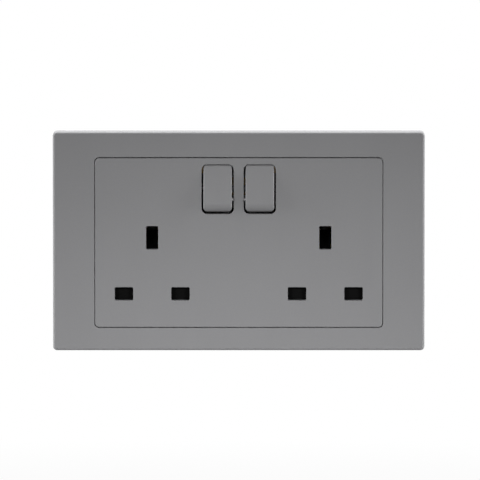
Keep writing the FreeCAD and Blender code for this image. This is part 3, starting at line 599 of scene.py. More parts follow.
@dataclass(frozen=True)
class MouldedPlastic:
    """Injection-moulded plastic with a spark-eroded grain."""

    slot: str
    colour: Colour
    rough: Pair
    grain: float = 0.28 * MM
    depth: float = 0.012 * MM
    drift: float = 0.02
    sheen: float = 0.5
    cloud: float = 0.045
    speck: float = 0.035

    def material(self) -> Material:
        """Builds the finish.

        Returns:
            The material.
        """
        graph = Graph(self.slot + "_finish")
        broad = graph.graded(graph.noise(self.cloud), around(self.colour, self.drift))
        specks = around(self.colour, self.speck, (0.35, 0.65))
        fine = graph.graded(graph.noise(self.grain * 1.6, 3.0), specks)
        graph.colour(graph.mixed(0.5, broad, fine))
        flow = graph.noise(0.012, 3.0, graph.mapped((1.0, 1.0, 0.35)))
        graph.roughness(graph.ranged(flow, *self.rough))
        graph.relief(graph.noise(self.grain, 4.0), self.depth, 0.5)
        graph.relief(graph.noise(0.006, 1.0), self.depth * 1.5, 0.35)
        graph.value("IOR", 1.49)
        graph.value("Specular IOR Level", self.sheen)
        return graph.material


@dataclass(frozen=True)
class RolledMetal:
    """Sheet or strip metal with rolling marks and a light tarnish."""

    slot: str
    colour: Colour
    tarnish: Colour
    rough: Pair
    marks: Place = (1.0, 1.0, 14.0)
    drawn: float = 0.15 * MM

    def material(self) -> Material:
        """Builds the finish.

        Returns:
            The material.
        """
        graph = Graph(self.slot + "_finish")
        lines = graph.noise(self.drawn * 6, 3.0, graph.mapped(self.marks))
        patch = graph.noise(0.0045, 4.0)
        clean = graph.graded(lines, [(0.3, shaded(self.colour, 0.93)), (0.7, self.colour)])
        dull = graph.graded(lines, [(0.3, shaded(self.tarnish, 0.9)), (0.7, self.tarnish)])
        graph.colour(graph.mixed(graph.ranged(patch, 0.0, 1.0, (0.48, 0.78)), clean, dull))
        graph.value("Metallic", 1.0)
        graph.roughness(graph.ranged(patch, *self.rough, (0.4, 0.75)))
        graph.relief(lines, 0.004 * MM, 0.4)
        return graph.material


@dataclass(frozen=True)
class ZincCoat:
    """Hot-dipped zinc with a fine spangle."""

    slot: str
    colour: Colour
    spangle: float
    rough: Pair

    def material(self) -> Material:
        """Builds the finish.

        Returns:
            The material.
        """
        graph = Graph(self.slot + "_finish")
        cells = graph.cells(self.spangle, graph.mapped((1.0, 0.4, 0.8)))
        split = graph.nodes.new("ShaderNodeSeparateColor")
        graph.links.new(cells.outputs["Color"], split.inputs["Color"])
        crystal = split.outputs["Red"]
        dark, light, dull = (shaded(self.colour, share) for share in (0.8, 1.25, 0.85))
        bright = graph.graded(crystal, [(0.0, dark), (0.55, self.colour), (1.0, light)])
        stain = graph.graded(graph.noise(0.008, 4.0), [(0.45, self.colour), (0.8, dull)])
        graph.colour(graph.mixed(0.35, bright, stain))
        graph.value("Metallic", 1.0)
        graph.roughness(graph.ranged(crystal, *self.rough, (0.0, 1.0)))
        graph.relief(cells.outputs["Distance"], 0.006 * MM, 0.3)
        graph.relief(graph.noise(0.5 * MM, 3.0), 0.004 * MM, 0.3)
        return graph.material


@dataclass(frozen=True)
class PlatedSteel:
    """Turned or drawn steel with a thin bright plating."""

    slot: str
    colour: Colour
    shadow: Colour
    rough: Pair

    def material(self) -> Material:
        """Builds the finish.

        Returns:
            The material.
        """
        graph = Graph(self.slot + "_finish")
        turned = graph.noise(0.5 * MM, 2.0, graph.mapped((1.0, 9.0, 1.0)))
        cloud = graph.noise(1.8 * MM, 3.0)
        graph.colour(graph.graded(cloud, [(0.3, self.shadow), (0.62, self.colour)]))
        graph.value("Metallic", 1.0)
        graph.roughness(graph.ranged(cloud, *self.rough))
        graph.relief(turned, 0.005 * MM, 0.4)
        return graph.material


@dataclass(frozen=True)
class Palette:
    """Finishes of the socket by the record's slot."""

    grey_plastic: MouldedPlastic = MouldedPlastic(
        "grey_plastic", (0.194, 0.194, 0.199), (0.6, 0.68), sheen=0.35
    )
    housing_plastic: MouldedPlastic = MouldedPlastic(
        "housing_plastic", (0.56, 0.555, 0.535), (0.38, 0.5), grain=0.4 * MM, depth=0.02 * MM, drift=0.03
    )
    # Shutters: their own black plastic, with the colour pushed far below real black plastic so that it
    # also paints the shade deep inside the pin holes (partly real colour, partly painted shade).
    shutter_plastic: MouldedPlastic = MouldedPlastic(
        "shutter_plastic", (0.002, 0.002, 0.002), (0.5, 0.6),
        grain=0.3 * MM, depth=0.01 * MM, drift=0.08, sheen=0.04,
    )
    brass: RolledMetal = RolledMetal("brass", (0.5, 0.36, 0.17), (0.26, 0.18, 0.09), (0.34, 0.5))
    silver_alloy: RolledMetal = RolledMetal(
        "silver_alloy", (0.86, 0.86, 0.84), (0.62, 0.6, 0.55), (0.22, 0.38)
    )
    spring_steel: PlatedSteel = PlatedSteel(
        "spring_steel", (0.6, 0.6, 0.6), (0.42, 0.42, 0.43), (0.22, 0.36)
    )
    galvanised_steel: ZincCoat = ZincCoat("galvanised_steel", (0.46, 0.475, 0.49), 0.004, (0.3, 0.48))
    screw_steel: PlatedSteel = PlatedSteel(
        "screw_steel", (0.7, 0.7, 0.67), (0.5, 0.5, 0.49), (0.22, 0.36)
    )

    def made(self) -> dict[str, Material]:
        """Builds every finish once.

        Returns:
            Each material by its slot.
        """
        finishes = [getattr(self, field.name) for field in fields(self)]
        return {finish.slot: finish.material() for finish in finishes}


class Socket:
    """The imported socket: its nodes keep their shape and get their finishes."""

    def __init__(self, frame: dict, materials: dict[str, Material]) -> None:
        """Keeps the frame and the finishes.

        Args:
            materials: each material by its slot.
        """
        self.nodes: dict[str, Object] = frame["nodes"]
        self.materials = materials
        self.slots = {part["node"]: part["material_slot"] for part in frame["record"]["subparts"]}

    def dress(self) -> None:
        """Gives each node the finish of its slot."""
        for name, node in self.nodes.items():
            node.data.materials.clear()
            node.data.materials.append(self.materials[self.slots[name]])
            log.info("node %s in %s", name, self.slots[name])

    def stand_in(self, piece: Object, body: str, node: str) -> Object:
        """Finishes a new piece and shows it in place of a node.

        Args:
            piece: the new piece.
            body: body that it moves with.
            node: node that it stands for.

        Returns:
            The same piece.
        """
        piece.data.materials.clear()
        piece.data.materials.append(self.materials[self.slots[node]])
        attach(piece, body)
        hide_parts(node)
        log.info("piece %s for %s: %d faces", piece.name, node, len(piece.data.polygons))
        return piece


@dataclass
class Surround:
    """Clip-on surround: a shallow tray with a window for the panel."""

    size: Pair = (0.146, 0.086)
    corner: float = 1.6 * MM
    edge: float = 0.9 * MM
    face: float = 2.0 * MM
    wall: float = 1.8 * MM
    window: Pair = (0.1133, 0.06715)
    window_drop: float = 0.525 * MM
    window_corner: float = 1.8 * MM
    window_edge: float = 0.3 * MM
    mouth_margin: float = 0.1 * MM
    past_wall: float = 0.5 * MM
    rim: float = 1.2 * MM
    rim_depth: float = 3.0 * MM
    rib: float = 1.0 * MM
    rib_depth: float = 2.4 * MM
    rib_places: tuple[float, ...] = (-0.052, -0.024, 0.024, 0.052)
    hook_places: Pair = (-0.038, 0.038)
    hook_width: float = 8.0 * MM
    hook_wall: float = 1.2 * MM
    hook_face: float = 38.3 * MM
    hook_barb: float = 0.9 * MM
    barb_y: Pair = (-0.0042, -0.0024)
    notch: Pair = (0.012, 0.0014)

    @property
    def back_face(self) -> float:
        """Y of the face's rear."""
        return FACE_Y + self.face

    def tray(self) -> Object:
        """Makes the plate with its rounded edge and hollow back.

        Returns:
            The tray, without its window.
        """
        tray = rounded_block("outer_surround", self.size, self.corner, (FACE_Y, 0.0), steps=10)
        Bench.round_edges(tray, lambda edge: on_plane(edge, FACE_Y), self.edge, 6)
        hollow = grown(self.size, -self.wall)
        inner = rounded_block("hollow", hollow, self.corner / 2, (self.back_face, BEYOND))
        Bench.combine(tray, inner, Joining.TAKE_AWAY)
        return tray

    def hook(self, x: float, way: int) -> Object:
        """Makes one snap hook: a leg with a barb drawn out of its end.

        Args:
            x: middle of the hook.
            way: one for the top row, minus one for the bottom row.

        Returns:
            The hook.
        """
        z = (way * self.hook_face, way * (self.hook_face + self.hook_wall))
        hook = Bench.block("hook", span(x, self.hook_width), (self.back_face, self.barb_y[1]), z)
        barb_z = (way * self.hook_face, way * (self.hook_face - self.hook_barb))
        barb = Bench.block("barb", span(x, self.hook_width), self.barb_y, barb_z)
        Bench.choose_edges(barb, self._barb_ramp)
        bpy.ops.mesh.merge(type="COLLAPSE")
        bpy.ops.object.mode_set(mode="OBJECT")
        return Bench.gathered([hook, barb], "hook")

    def _barb_ramp(self, edge: bmesh.types.BMEdge) -> bool:
        """True of the barb edges that close up into its ramp."""
        a, b = (vertex.co for vertex in edge.verts)
        return max(abs(a.y - self.barb_y[1]), abs(b.y - self.barb_y[1]), abs(a.x - b.x)) < NEAR

    def build(self) -> Object:
        """Makes the whole surround.

        Returns:
            The surround, ready to dress.
        """
        surround = self.tray()
        centre = (0.0, -self.window_drop)
        rim_y = (self.back_face, self.back_face + self.rim_depth)
        rim_size = grown(self.window, self.rim)
        extras = [rounded_block("rim", rim_size, self.window_corner + self.rim, rim_y, centre)]
        for way in (-1, 1):
            rib_y = (self.back_face, self.back_face + self.rib_depth)
            rib_z = (way * self.window[1] / 2 - self.window_drop, way * (self.size[1] / 2 - self.wall))
            extras += [Bench.block("rib", span(x, self.rib), rib_y, rib_z) for x in self.rib_places]
            extras += [self.hook(x, way) for x in self.hook_places]
        Bench.combine(surround, Bench.gathered(extras, "extras"), Joining.ADD, crossing=True)
        through = (FACE_Y - BEYOND, self.past_wall)
        window = rounded_block("window", self.window, self.window_corner, through, centre)
        Bench.combine(surround, window, Joining.TAKE_AWAY)
        mouth = grown(self.window, self.mouth_margin)
        Bench.round_edges(
            surround, lambda edge: in_face(edge, mouth, self.window_drop), self.window_edge, 3
        )
        notch_y = (-self.notch[1], BEYOND)
        notch_z = (-self.size[1] / 2 - BEYOND, -self.size[1] / 2 + self.wall + BEYOND)
        notch = Bench.block("notch", span(0.0, self.notch[0]), notch_y, notch_z)
        Bench.combine(surround, notch, Joining.TAKE_AWAY)
        return Bench.faired(surround)


@dataclass
class Panel:
    """Panel moulding with pin holes, collars, rocker bearings, shutter guides and screw bosses."""

    size: Pair = (0.1129, 0.0666)
    drop: float = 0.55 * MM
    corner: float = 1.6 * MM
    edge: float = 0.3 * MM
    face: float = 2.2 * MM
    wall: float = 1.6 * MM
    back: float = -1.2 * MM
    outlets: Pair = (-OUTLET_X, OUTLET_X)
    pin_half_pitch: float = 11.1 * MM
    earth_z: float = 1.4 * MM
    row_z: float = -20.7 * MM
    line_hole: Pair = (0.0073, 0.0052)
    earth_hole: Pair = (0.0048, 0.0092)
    hole_corner: float = 0.5 * MM
    hole_edge: float = 0.12 * MM
    collar_wall: float = 1.0 * MM
    collar_end: float = -5.2 * MM
    switches: Pair = (-ROCKER_X, ROCKER_X)
    switch_hole: Pair = (0.0126, 0.01954)
    switch_corner: float = 2.1 * MM
    bearing_wall: float = 1.2 * MM
    bearing_depth: float = 4.3 * MM
    pivot_bore: float = 1.35 * MM
    guide_face: float = 15.5 * MM
    guide_wall: float = 1.2 * MM
    guide_top: float = -8.6 * MM
    lip: float = 0.8 * MM
    lip_y: Pair = (-0.003, -0.0022)
    post_radius: float = 0.9 * MM
    post_length: float = 3.0 * MM
    boss_radius: float = 3.2 * MM
    boss_bore: float = 1.45 * MM
    boss_bore_depth: float = 6.5 * MM

    @property
    def back_face(self) -> float:
        """Y of the face's rear."""
        return FACE_Y + self.face

    def pin_holes(self) -> list[tuple[Pair, Pair]]:
        """Lists the pin holes.

        Returns:
            Centre and size of each of the six.
        """
        holes = []
        for x in self.outlets:
            holes.append(((x, self.earth_z), self.earth_hole))
            for pin_x in (x - self.pin_half_pitch, x + self.pin_half_pitch):
                holes.append(((pin_x, self.row_z), self.line_hole))
        return holes

    def shell(self) -> Object:
        """Makes the open box with its rounded face.

        Returns:
            The box, without its openings.
        """
        centre = (0.0, -self.drop)
        shell = rounded_block("socket_panel", self.size, self.corner, (FACE_Y, self.back), centre)
        Bench.round_edges(shell, lambda edge: on_plane(edge, FACE_Y), self.edge, 4)
        hollow = grown(self.size, -self.wall)
        room = rounded_block("room", hollow, self.corner / 2, (self.back_face, BEYOND), centre)
        Bench.combine(shell, room, Joining.TAKE_AWAY)
        return shell

    def guides(self, x: float) -> list[Object]:
        """Makes the two lipped walls of one shutter and the post of its spring.

        Args:
            x: middle of the outlet.

        Returns:
            The walls, their lips and the post.
        """
        floor = -self.drop - self.size[1] / 2 + self.wall
        z = (floor - SINK, self.guide_top)
        wall_y = (self.back_face - SINK, self.lip_y[1])
        pieces = []
        for way in (-1, 1):
            face = x + way * self.guide_face
            pieces.append(Bench.block("guide", (face, face + way * self.guide_wall), wall_y, z))
            pieces.append(Bench.block("lip", (face - way * self.lip, face + way * SINK), self.lip_y, z))
        foot = (x, SHUTTER_SPRING_Y, floor - SINK)
        tip = (x, SHUTTER_SPRING_Y, floor + self.post_length)
        pieces.append(Bench.rod("post", self.post_radius, foot, tip, 24))
        return pieces

    def additions(self) -> list[Object]:
        """Makes what stands behind the face: bearings, guides, collars and bosses.

        Returns:
            The solids to add to the box.
        """
        start = self.back_face - SINK
        bearing = grown(self.switch_hole, self.bearing_wall)
        bearing_y = (start, self.back_face + self.bearing_depth)
        corner = self.switch_corner + self.bearing_wall
        pieces = []
        for x in self.switches:
            pieces.append(rounded_block("bearing", bearing, corner, bearing_y, (x, ROCKER_PIVOT[1])))
        for x in self.outlets:
            pieces += self.guides(x)
        corner = self.hole_corner + self.collar_wall
        for centre, hole in self.pin_holes():
            collar = grown(hole, self.collar_wall)
            pieces.append(rounded_block("collar", collar, corner, (start, self.collar_end), centre, 4))
        for x, z in CASE_SCREWS:
            pieces.append(Bench.rod("boss", self.boss_radius, (x, start, z), (x, 0.0, z)))
        return pieces

    def openings(self) -> list[Object]:
        """Makes the cutters of the pin holes, rocker openings and screw bores.

        Returns:
            The solids to take away.
        """
        front = FACE_Y - BEYOND
        pin_y = (front, self.collar_end + BEYOND)
        cutters = []
        for centre, hole in self.pin_holes():
            cutters.append(rounded_block("pin_hole", hole, self.hole_corner, pin_y, centre, 4))
        for x in self.switches:
            centre = (x, ROCKER_PIVOT[1])
            opening = rounded_block("opening", self.switch_hole, self.switch_corner, (front, 0.0), centre)
            cutters.append(opening)
        for x, z in CASE_SCREWS:
            start = (x, -self.boss_bore_depth, z)
            cutters.append(Bench.rod("bore", self.boss_bore, start, (x, BEYOND, z), 32))
        return cutters

    def build(self) -> Object:
        """Makes the whole panel.

        Returns:
            The panel, ready to dress.
        """
        panel = self.shell()
        Bench.combine(panel, Bench.gathered(self.additions(), "additions"), Joining.ADD, crossing=True)
        Bench.combine(panel, Bench.gathered(self.openings(), "openings"), Joining.TAKE_AWAY)
        reach = self.switches[1] + self.switch_hole[0] / 2 + self.bearing_wall + BEYOND
        axle = Bench.rod("axle", self.pivot_bore, (-reach, *ROCKER_PIVOT), (reach, *ROCKER_PIVOT), 40)
        Bench.combine(panel, axle, Joining.TAKE_AWAY)
        mouths = grown(self.size, -self.wall)
        Bench.round_edges(panel, lambda edge: in_face(edge, mouths, self.drop), self.hole_edge, 3)
        return Bench.faired(panel)


@dataclass
class Rocker:
    """Rocker switch about its pivot: soft-edged cap, trunnions, plunger stem and moulding nib."""

    size: Pair = (0.01118, 0.01842)
    crest: float = -4.95 * MM
    skirt: float = -1.5 * MM
    corner: float = 1.62 * MM
    top_round: float = 1.0 * MM
    bottom_round: float = 3.2 * MM
    side_round: float = 0.4 * MM
    wall: float = 1.2 * MM
    crown: float = 1.8 * MM
    trunnion: float = 1.3 * MM
    trunnion_reach: float = 1.5 * MM
    stem: float = 2.5 * MM
    stem_end: float = 3.5 * MM
    bore: float = 1.65 * MM
    nib: float = 0.52 * MM
    nib_place: Pair = (-0.00445, -0.00455)
    nib_reach: float = 0.64 * MM
    sink: float = 0.3 * MM

    def cap(self) -> Object:
        """Makes the cap: rounded ends, edges and corners, open back.

        Returns:
            The cap, with the pivot at the origin.
        """
        half_x, half_z = self.size[0] / 2, self.size[1] / 2
        cap = Bench.block("rocker_cap", (-half_x, half_x), (self.crest, self.skirt), (-half_z, half_z))
        Bench.round_edges(cap, lambda edge: self._end_edge(edge, half_z), self.top_round, 8)
        Bench.round_edges(cap, lambda edge: self._end_edge(edge, -half_z), self.bottom_round, 10)
        Bench.round_edges(cap, self._side_edge, self.side_round, 4)
        corners = rounded_block("corners", self.size, self.corner, (self.crest - BEYOND, 0.0))
        Bench.combine(cap, corners, Joining.KEEP_COMMON)
        hollow = grown(self.size, -self.wall)
        room = rounded_block("room", hollow, self.corner / 2, (self.crest + self.crown, 0.0))
        Bench.combine(cap, room, Joining.TAKE_AWAY)
        return cap

    def _end_edge(self, edge: bmesh.types.BMEdge, z: float) -> bool:
        """True of the front edge across one end of the rocker."""
        return on_plane(edge, self.crest) and all(abs(vertex.co.z - z) < NEAR for vertex in edge.verts)

    def _side_edge(self, edge: bmesh.types.BMEdge) -> bool:
        """True of the edges where a side meets the face and its rounded ends.

        Args:
            edge: edge to test.

        Returns:
            Whether the edge is one of them.
        """
        side = all(abs(abs(vertex.co.x) - self.size[0] / 2) < NEAR for vertex in edge.verts)
        front = all(vertex.co.y < self.skirt - NEAR for vertex in edge.verts)
        low_end = all(abs(abs(vertex.co.z) - self.size[1] / 2) < NEAR for vertex in edge.verts)
        return side and front and not low_end and edge.calc_face_angle(0.0) > 0.5

    def _nib(self, way: int) -> Object:
        """Makes the small round nib low on the side that faces the other rocker.

        Args:
            way: one if that side looks along +X, minus one if along -X.

        Returns:
            The nib, its end rounded.
        """
        half = self.size[0] / 2
        foot = (way * (half - self.sink), *self.nib_place)
        tip = (way * (half + self.nib_reach), *self.nib_place)
        nib = Bench.rod("nib", self.nib, foot, tip, 12)
        Bench.round_edges(
            nib, lambda edge: all(abs(v.co.x - tip[0]) < NEAR for v in edge.verts), self.nib * 0.25, 2
        )
        return nib

    def _hinge(self, way: int) -> list[Object]:
        """Makes the cheek, eye and trunnion on one side.

        Args:
            way: one on the right, minus one on the left.

        Returns:
            The three solids.
        """
        half = self.size[0] / 2
        eye = self.trunnion + self.wall
        outer, inner, end = way * half, way * (half - self.wall), way * (half + self.trunnion_reach)
        cheek_y = (self.crest + self.crown - self.sink, 0.0)
        return [
            Bench.block("cheek", (outer, inner), cheek_y, span(0.0, 2 * eye)),
            Bench.rod("eye", eye, (outer, 0.0, 0.0), (inner, 0.0, 0.0), 32),
            Bench.rod("trunnion", self.trunnion, (inner, 0.0, 0.0), (end, 0.0, 0.0), 32),
        ]

    def build(self, side: Side) -> Object:
        """Makes one rocker in its place, switched off.

        Args:
            side: which of the two rockers.

        Returns:
            The rocker, ready to dress.
        """
        rocker = self.cap()
        back = self.crest + self.crown
        extras = [*self._hinge(-1), *self._hinge(1)]
        stem_end = (0.0, self.stem_end, 0.0)
        extras.append(Bench.rod("stem", self.stem, (0.0, back - self.sink, 0.0), stem_end, 32))
        extras.append(self._nib(-side.sign))
        Bench.combine(rocker, Bench.gathered(extras, "extras"), Joining.ADD, crossing=True)
        bore = Bench.rod("bore", self.bore, (0.0, back, 0.0), (0.0, self.stem_end + BEYOND, 0.0), 32)
        Bench.combine(rocker, bore, Joining.TAKE_AWAY)
        rocker.name = "rocker_" + side.value + "_soft"
        return Bench.faired(seated(rocker, side))


@dataclass(frozen=True)
class WireSpring:
    """Compression spring of round wire along +Z from the origin, with closed ends.

    Its turns include the closed ones, and closed is how much of a turn lies close at each end.
    """

    radius: float
    wire: float
    turns: int
    length: float
    closed: float = 0.75
    steps: int = 24
    facets: int = 10

    def build(self, name: str) -> Object:
        """Winds the spring from a ring of wire section.

        Args:
            name: name of the spring.

        Returns:
            The spring, on the origin.
        """
        bpy.ops.object.select_all(action="DESELECT")
        middle = self.radius - self.wire / 2
        bpy.ops.mesh.primitive_circle_add(
            vertices=self.facets, radius=self.wire / 2, fill_type="NGON", location=(middle, 0.0, 0.0),
            rotation=(math.radians(90), 0.0, 0.0),
        )
        spring = bpy.context.object
        spring.name = name
        Bench.settle(spring)
        Bench.wound(spring, self.turns, self.wire, self.steps)
        self._spread(spring.data)
        Bench.mended(spring, outward=True)
        return Bench.faired(spring, 60.0)

    def _spread(self, mesh: Mesh) -> None:
        """Spreads the close winding to its length, with its end turns kept closed.

        Args:
            mesh: mesh of the close winding.
        """
        open_turns = self.turns - 2 * self.closed
        pitch = (self.length - self.wire * (1 + 2 * self.closed)) / open_turns
        for vertex in mesh.vertices:
            turn = self._turn_at(vertex.co)
            inner = min(max(turn - self.closed, 0.0), open_turns)
            vertex.co.z += self.wire / 2 + inner * (pitch - self.wire)

    def _turn_at(self, place: Vector) -> float:
        """Finds how far along the close winding a point lies.

        Args:
            place: point of the close winding.

        Returns:
            Number of turns wound up to it.
        """
        share = (math.atan2(place.y, place.x) / math.tau) % 1.0
        whole = round(place.z / self.wire - share)
        return max(whole + share, 0.0)


@dataclass(frozen=True)
class MachineScrew:
    """Slotted screw along +Y: head, plain shank and rolled thread."""

    head: float
    thread: float
    pitch: float
    head_y: Pair
    thread_y: Pair
    slot: float = 0.9 * MM
    slot_edge: float = 0.08 * MM
    chamfer: float = 0.42 * MM
    thread_root: float = 0.02 * MM
    steps: int = 24
    neck: float | None = None
    neck_overlap: float = 0.3 * MM

    @property
    def core(self) -> float:
        """Radius of the shank under the thread."""
        return self.thread - 0.6 * self.pitch

    def head_piece(self) -> Object:
        """Makes the rounded head with its slot.

        Returns:
            The head.
        """
        outer, seat = self.head_y
        rise = outer - seat
        head = Bench.rod("screw_head", self.head, (0.0, seat, 0.0), (0.0, outer, 0.0), 56)
        Bench.round_edges(head, lambda edge: on_plane(edge, outer), abs(rise) * 0.3, 5)
        slot_y = (outer + rise * 0.1, outer - rise * 0.5)
        cutter = Bench.block("slot", span(0.0, self.slot), slot_y, span(0.0, 2.4 * self.head))
        Bench.combine(head, cutter, Joining.TAKE_AWAY)
        Bench.round_edges(head, self._slot_edge, self.slot_edge, 2)
        return head

    def _slot_edge(self, edge: bmesh.types.BMEdge) -> bool:
        """True of the two long edges of the slot's mouth."""
        half, outer = self.slot / 2, self.head_y[0]
        return all(abs(abs(v.co.x) - half) < NEAR and abs(v.co.y - outer) < NEAR for v in edge.verts)

    def thread_piece(self) -> Object:
        """Rolls the thread as a ribbon that fades into the core at both ends.

        Returns:
            The thread, open towards the core.
        """
        low, high = sorted(self.thread_y)
        root = self.core - self.thread_root
        bpy.ops.object.select_all(action="DESELECT")
        bpy.ops.mesh.primitive_circle_add(vertices=4, radius=self.pitch * 0.4, fill_type="NOTHING")
        ribbon = bpy.context.object
        ribbon.name = "thread"
        sections = ((root, 0.0), (self.thread, 0.42), (self.thread, 0.58), (root, 1.0))
        for vertex, (radius, share) in zip(ribbon.data.vertices, sections):
            vertex.co = (radius, 0.0, share * self.pitch)
        Bench.choose_edges(ribbon, lambda edge: {v.index for v in edge.verts} == {0, 3})
        bpy.ops.mesh.delete(type="EDGE")
        bpy.ops.object.mode_set(mode="OBJECT")
        turns = int((high - low) / self.pitch) - 1
        Bench.wound(ribbon, turns, self.pitch, self.steps)
        self._fade(ribbon.data, root, (turns + 1) * self.pitch)
        Bench.mended(ribbon, merge=True, outward=True)
        return Bench.moved(ribbon, (0.0, low, 0.0), (-90.0, 0.0, 0.0))

    def _fade(self, mesh: Mesh, root: float, length: float) -> None:
        """Sinks both ends of a thread along +Z into the core.

        Args:
            mesh: mesh of the thread.
            root: radius that the ends sink to.
            length: height of the whole thread.
        """
        for vertex in mesh.vertices:
            flat = math.hypot(vertex.co.x, vertex.co.y)
            near = min(vertex.co.z, length - vertex.co.z) / self.pitch
            fade = min(max(near - 0.3, 0.0) / 1.2, 1.0)
            radius = root + (flat - root) * fade
            vertex.co.x *= radius / flat
            vertex.co.y *= radius / flat

    def core_piece(self) -> Object:
        """Makes the shank: plain to the thread, core under it and a chamfered tip.

        Returns:
            The shank, with its thicker neck if it has one.
        """
        start, tip = self.thread_y
        seat = (0.0, self.head_y[1], 0.0)
        shank = Bench.rod("shank", self.core, seat, (0.0, tip, 0.0), 40)
        Bench.round_edges(shank, lambda edge: on_plane(edge, tip), self.chamfer, 1)
        if self.neck is None:
            return shank
        end = start + math.copysign(self.neck_overlap, tip - start)
        collar = Bench.rod("neck", self.neck, seat, (0.0, end, 0.0), 40)
        return Bench.gathered([shank, collar], "shank")

    def build(self, name: str) -> Object:
        """Puts the screw together on the Y axis.

        Args:
            name: name of the screw.

        Returns:
            The screw, ready to place.
        """
        screw = Bench.gathered([self.head_piece(), self.core_piece(), self.thread_piece()], name)
        return Bench.faired(screw, 40.0)


@dataclass
class Springs:
    """The four springs of round wire."""

    shutter_coil: WireSpring = WireSpring(radius=1.8 * MM, wire=0.45 * MM, turns=9, length=18.5 * MM)
    shutter_floor: float = -32.3 * MM
    shutter_travel: float = 6.0 * MM
    plunger_coil: WireSpring = WireSpring(
        radius=1.45 * MM, wire=0.4 * MM, turns=4, length=4.05 * MM, steps=20
    )
    plunger_seat: float = -3.15 * MM
    plunger_travel: float = 0.8 * MM

    def shutter_spring(self, socket: Socket, side: Side) -> None:
        """Makes the upright spring that returns one shutter.

        Args:
            socket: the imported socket.
            side: outlet that it belongs to.
        """
        foot = (side.sign * OUTLET_X, SHUTTER_SPRING_Y, self.shutter_floor)
        spring = Bench.moved(self.shutter_coil.build("shutter_coil_" + side.value), foot)
        socket.stand_in(spring, "socket_body", "shutter_spring_" + side.value)
        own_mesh(spring)

    def plunger_spring(self, socket: Socket, side: Side) -> None:
        """Makes the spring in one rocker's stem, along the stem's tilted axis.

        Args:
            socket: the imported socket.
            side: rocker that it belongs to.
        """
        spring = self.plunger_coil.build("plunger_coil_" + side.value)
        Bench.moved(spring, (0.0, self.plunger_seat, 0.0), (-90.0, 0.0, 0.0))
        seated(spring, side)
        socket.stand_in(spring, "rocker_" + side.value, "plunger_spring_" + side.value)
        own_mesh(spring)

    def build(self, socket: Socket) -> None:
        """Winds and places all four springs.

        Args:
            socket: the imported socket.
        """
        for side in Side:
            self.shutter_spring(socket, side)
            self.plunger_spring(socket, side)


@dataclass
class Fixings:
    """Box screws, case screws and terminal screws, each slot at its own angle."""

    box_x: float = 60.3 * MM
    box_turns: Pair = (8.0, 81.0)
    case_turns: tuple[float, ...] = (118.0, 24.0, -38.0, 71.0)
    clamps: tuple[Pair, ...] = ((0.0, 0.0205), (0.0, -0.0205), (-OUTLET_X, 0.0205), (OUTLET_X, 0.0205))
    clamp_turns: tuple[float, ...] = (12.0, 97.0, -52.0, 33.0)
    box_screw: MachineScrew = MachineScrew(
        head=3.3 * MM, thread=1.75 * MM, pitch=0.6 * MM,
        head_y=(-3.4 * MM, -1.2 * MM), thread_y=(0.0, 23.8 * MM), neck=1.44 * MM,
    )
    case_screw: MachineScrew = MachineScrew(
        head=2.8 * MM, thread=1.45 * MM, pitch=0.7 * MM,
        head_y=(21.6 * MM, 19.8 * MM), thread_y=(6.0 * MM, -6.2 * MM),
    )
    clamp_screw: MachineScrew = MachineScrew(
        head=2.6 * MM, thread=1.6 * MM, pitch=0.5 * MM,
        head_y=(21.5 * MM, 19.9 * MM), thread_y=(19.9 * MM, 17.4 * MM),
    )

    def box_screws(self, socket: Socket) -> None:
        """Makes the two screws into the wall box.

        Args:
            socket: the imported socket.
        """
        first = self.box_screw.build("box_screw_left")
        second = Bench.copied(first, "box_screw_right")
        for side, piece, turn in zip(Side, (first, second), self.box_turns):
            self._place(piece, (side.sign * self.box_x, 0.0), turn)
            socket.stand_in(piece, "socket_body", "fixing_screw_" + side.value)

    def group(
        self, screw: MachineScrew, name: str, places: tuple[Pair, ...], turns: tuple[float, ...]
    ) -> Object:
        """Copies one screw to several places, as one object.

        Args:
            screw: kind of screw.
            name: name of the group.
            places: X and Z of each screw.
            turns: turn of each slot in degrees.

        Returns:
            The group.
        """
        first = screw.build("screw")
        pieces = [first] + [Bench.copied(first, "screw") for _ in places[1:]]
        for piece, place, turn in zip(pieces, places, turns):
            self._place(piece, place, turn)
        return Bench.gathered(pieces, name)

    def _place(self, piece: Object, place: Pair, turn: float) -> None:
        """Turns a screw about its own axis and moves it to its place."""
        Bench.moved(piece, (place[0], 0.0, place[1]), (0.0, turn, 0.0))

    def build(self, socket: Socket) -> None:
        """Makes all ten screws.

        Args:
            socket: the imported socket.
        """
        self.box_screws(socket)
        case = self.group(self.case_screw, "case_screw_set", CASE_SCREWS, self.case_turns)
        socket.stand_in(case, "socket_body", "housing_screws")
        clamps = self.group(self.clamp_screw, "clamp_screw_set", self.clamps, self.clamp_turns)
        socket.stand_in(clamps, "socket_body", "terminal_screws")


@dataclass(frozen=True)
class SoftBox:
    """Rectangular lamp: size, power in watts, place, aim and spread in degrees."""

    name: str
    size: Pair
    power: float
    place: Place
    aim: Place = (0.0, 0.0, 0.0)
    spread: float = 100.0

    def hang(self) -> None:
        """Hangs the lamp, unseen by the camera."""
        light = bpy.data.lights.new(self.name, "AREA")
        light.shape = "RECTANGLE"
        light.size, light.size_y = self.size
        light.energy = self.power
        light.spread = math.radians(self.spread)
        lamp = bpy.data.objects.new(self.name, light)
        bpy.context.scene.collection.objects.link(lamp)
        lamp.location = self.place
        reach = Vector(self.aim) - Vector(self.place)
        lamp.rotation_euler = reach.to_track_quat("-Z", "Y").to_euler()
        lamp.visible_camera = False


